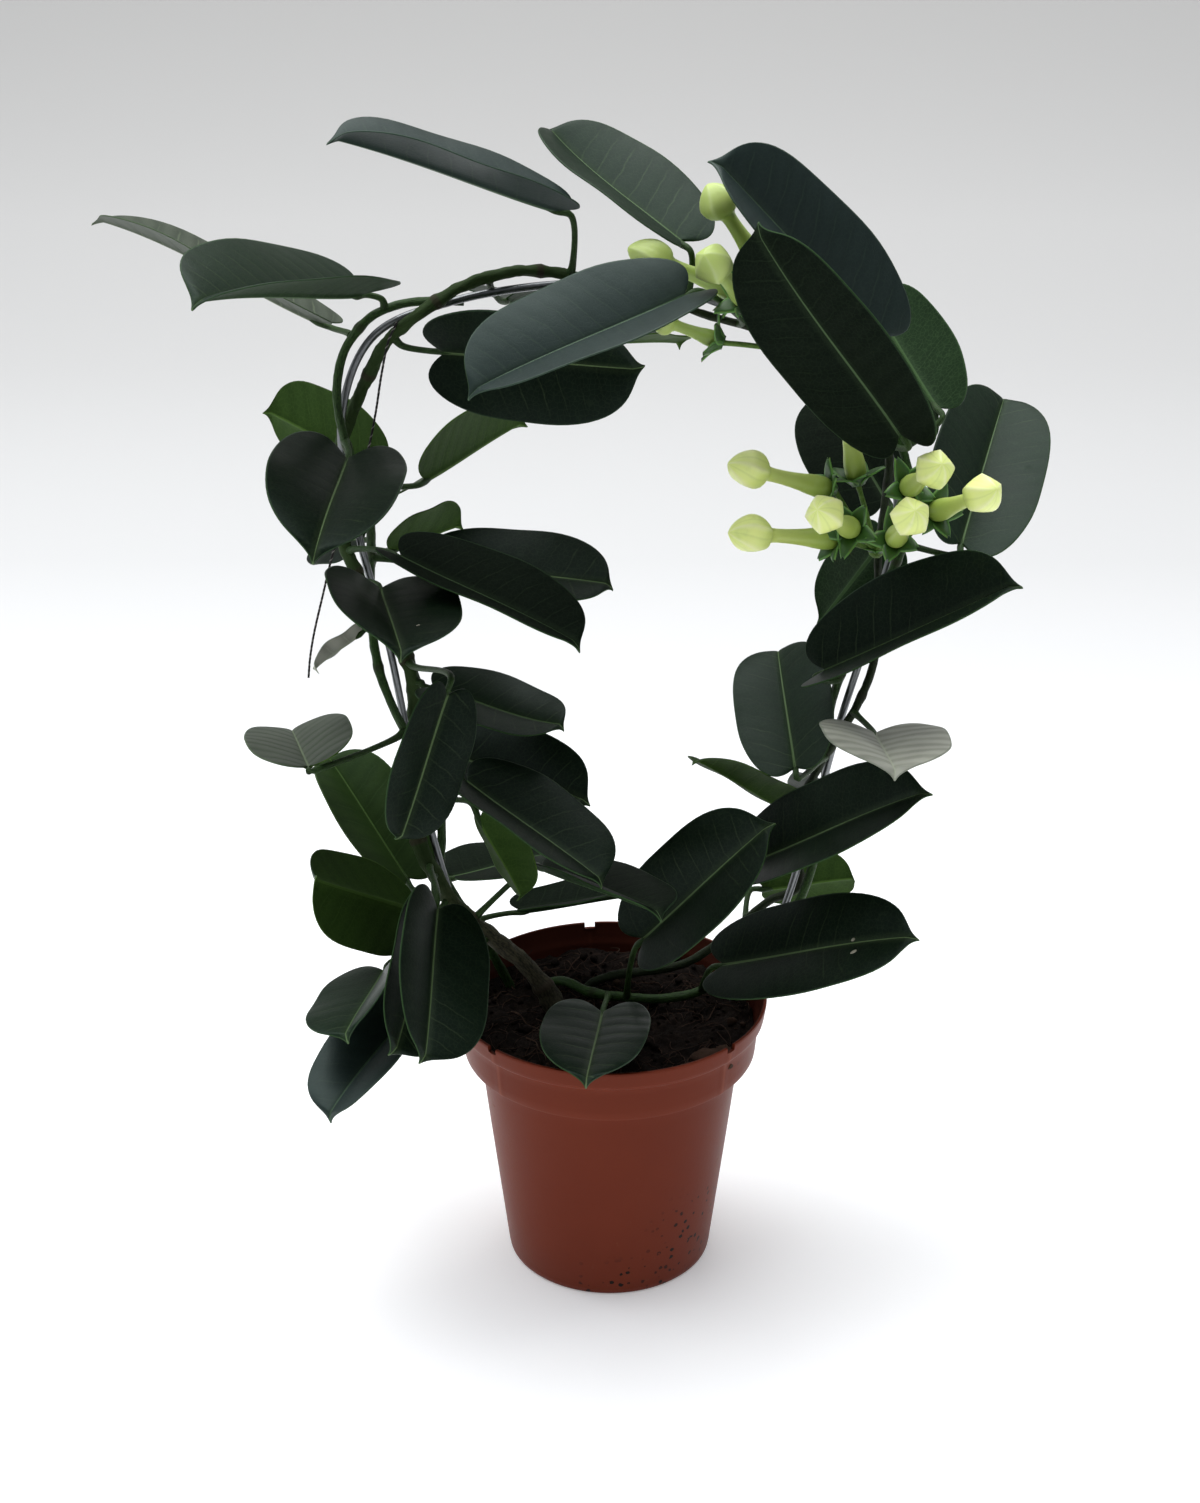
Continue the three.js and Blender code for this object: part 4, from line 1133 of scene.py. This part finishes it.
# Where the stalks of a cluster meet, where it springs from, and the foot and tip of each bud.
UMBELS = {
    "umbel_right": (
        (101, 0, 311), (101, 10, 311),
        [((83, -1, 335), (43, -16, 349)), ((85, -12, 319), (43, -30, 327)),
         ((90, -16, 324), (73, -51, 342)), ((110, -10, 338), (117, -45, 357)),
         ((120, -11, 329), (137, -45, 348)), ((105, -19, 321), (107, -55, 343)),
         ((93, 3, 337), (84, 1, 378))]),
    "umbel_top": (
        (60, 1, 388), (85, 12, 380),
        [((55, 2, 417), (34, 0, 447)), ((48, 5, 407), (6, -2, 425)),
         ((49, -6, 407), (32, -32, 428)), ((40, -2, 391), (14, 1, 400)),
         ((52, 10, 409), (36, 14, 420))]),
}
for name, (hub, root, buds) in UMBELS.items():
    cluster = Shape()
    centre = mm(*hub)
    cluster.rod(Route([*sprout(mm(*root), centre), centre]),
                lambda share: MM * (1.9 - 0.3 * share), 12, 16, PEDICEL)
    cluster.turned(
        [(0.1, -3), (1.6, -2.7), (2.7, -1.6), (3.1, 0), (2.8, 1.5), (1.8, 2.6), (0.1, 3)], 16,
        Matrix.Translation(centre) @ Matrix.Scale(MM, 4), PEDICEL)
    for k in range(5):
        sepal(cluster, Matrix.Translation(centre), k * 1.3, 4.5, 0.6)
    for foot, head in buds:
        foot, head = mm(*foot), mm(*head)
        place = pointing(foot, head)
        stretch = (head - foot).length / (BUD_LENGTH * MM)
        way = (head - foot).normalized()
        cluster.rod(
            Route([centre, mix(centre, foot, 0.6), foot - way * 0.5 * MM, foot + way * 2 * MM]),
            lambda share: MM * (1.0 + 2.5 * max(0, share - 0.8)), 10, 20, PEDICEL)
        bud(cluster, place, stretch, 1.0 if name == "umbel_top" else 0.0)
        first = chance.uniform(0, 6.28)
        for k in range(5):
            turned_to = first + k * 2 * math.pi / 5 + chance.uniform(-0.15, 0.15)
            sepal(cluster, place, turned_to, SEPAL_SIZE * min(1, stretch + 0.25),
                  chance.uniform(0.35, 0.75))
    cluster.make(name + "_buds", [bud_finish, sepal_finish, pedicel_finish], "bud_petal", name)


# ---- Floor and light
# A plain pale paper sweep, lit softly from above and behind in a room that is dim on the near
# side. Its colour is painted shade, white in front and greyer towards its far end, and it glows
# faintly as painted light that softens its shadows.

FLOOR_FRONT = -3.0
FLOOR_SIDE = 5.0
SWEEP_START = 1.6
SWEEP_RADIUS = 1.2
SWEEP_TOP = 4.0
ROOM_BRIGHTEST = (-0.15, 0.45, 0.88)

# Painted light: the floor glows faintly, though it is no lamp, which lightens the shadows on it.
floor_finish = Finish(
    "floor_finish", Roughness=0.9, Specular_IOR_Level=0.1, Emission_Color=(1, 1, 1, 1),
    Emission_Strength=0.2)
floor_depth = floor_finish.node("ShaderNodeSeparateXYZ", None, {0: floor_finish.space()}, out=1)
# Painted shade: the colour turns greyer further back, where the sweep stands for a wall that gets
# less light.
floor_finish.paint("Base Color", floor_finish.node("ShaderNodeValToRGB", {"stops": [
    (0.0, (0.95, 0.95, 0.95)), (0.15, (0.9, 0.9, 0.9)), (0.24, (0.6, 0.6, 0.6)),
    (0.34, (0.53, 0.53, 0.528)), (0.74, (0.515, 0.51, 0.5)), (1.0, (0.33, 0.324, 0.312))]},
    {"Fac": floor_depth / (SWEEP_START + SWEEP_RADIUS)}))
floor_mesh = bpy.data.meshes.new("floor")
sweep = []
for i in range(25):
    angle = math.radians(90 * i / 24)
    sweep.append((
        SWEEP_START + SWEEP_RADIUS * math.sin(angle), SWEEP_RADIUS * (1 - math.cos(angle))))
profile = [(FLOOR_FRONT, 0.0), *sweep, (SWEEP_START + SWEEP_RADIUS, SWEEP_TOP)]
corners = [(x, y, z) for y, z in profile for x in (-FLOOR_SIDE, FLOOR_SIDE)]
floor_mesh.from_pydata(corners, [], [
    (2 * i, 2 * i + 1, 2 * i + 3, 2 * i + 2) for i in range(len(profile) - 1)])
floor_mesh.polygons.foreach_set("use_smooth", [True] * len(floor_mesh.polygons))
floor_mesh.materials.append(floor_finish.material)
floor = bpy.data.objects.new("floor", floor_mesh)
bpy.context.scene.collection.objects.link(floor)

room = Finish("room", bpy.data.worlds, "Background", Strength=0.9)
room_rise = room.node("ShaderNodeVectorMath", {"operation": "DOT_PRODUCT"}, {
    0: room.node("ShaderNodeTexCoord", out="Generated"), 1: ROOM_BRIGHTEST}, out="Value")
room.paint("Color", room.node("ShaderNodeValToRGB", {"stops": [
    (0.0, (0.1, 0.1, 0.105)), (0.85, (0.98, 1.03, 1.1))]}, {"Fac": room_rise}))
bpy.context.scene.world = room.material
bpy.context.scene.view_settings.view_transform = "Standard"


def lamp(name, place, target, size, power, colour):
    """A soft box that hangs at place and is turned to target."""
    light = bpy.data.objects.new(name, bpy.data.lights.new(name, "AREA"))
    light.data.shape = "RECTANGLE"
    light.data.size, light.data.size_y = size
    light.data.energy = power
    light.data.color = colour
    light.location = place
    light.rotation_euler = (Vector(target) - Vector(place)).to_track_quat("-Z", "Y").to_euler()
    bpy.context.scene.collection.objects.link(light)


lamp("ceiling", (-0.2, 0.35, 2.3), (0, 0.0, 0.2), (2.6, 2.0), 58, (1.0, 1.0, 1.0))
lamp("window", (-1.9, 0.6, 1.6), (0, 0, 0.3), (1.4, 1.6), 9, (0.92, 0.97, 1.0))
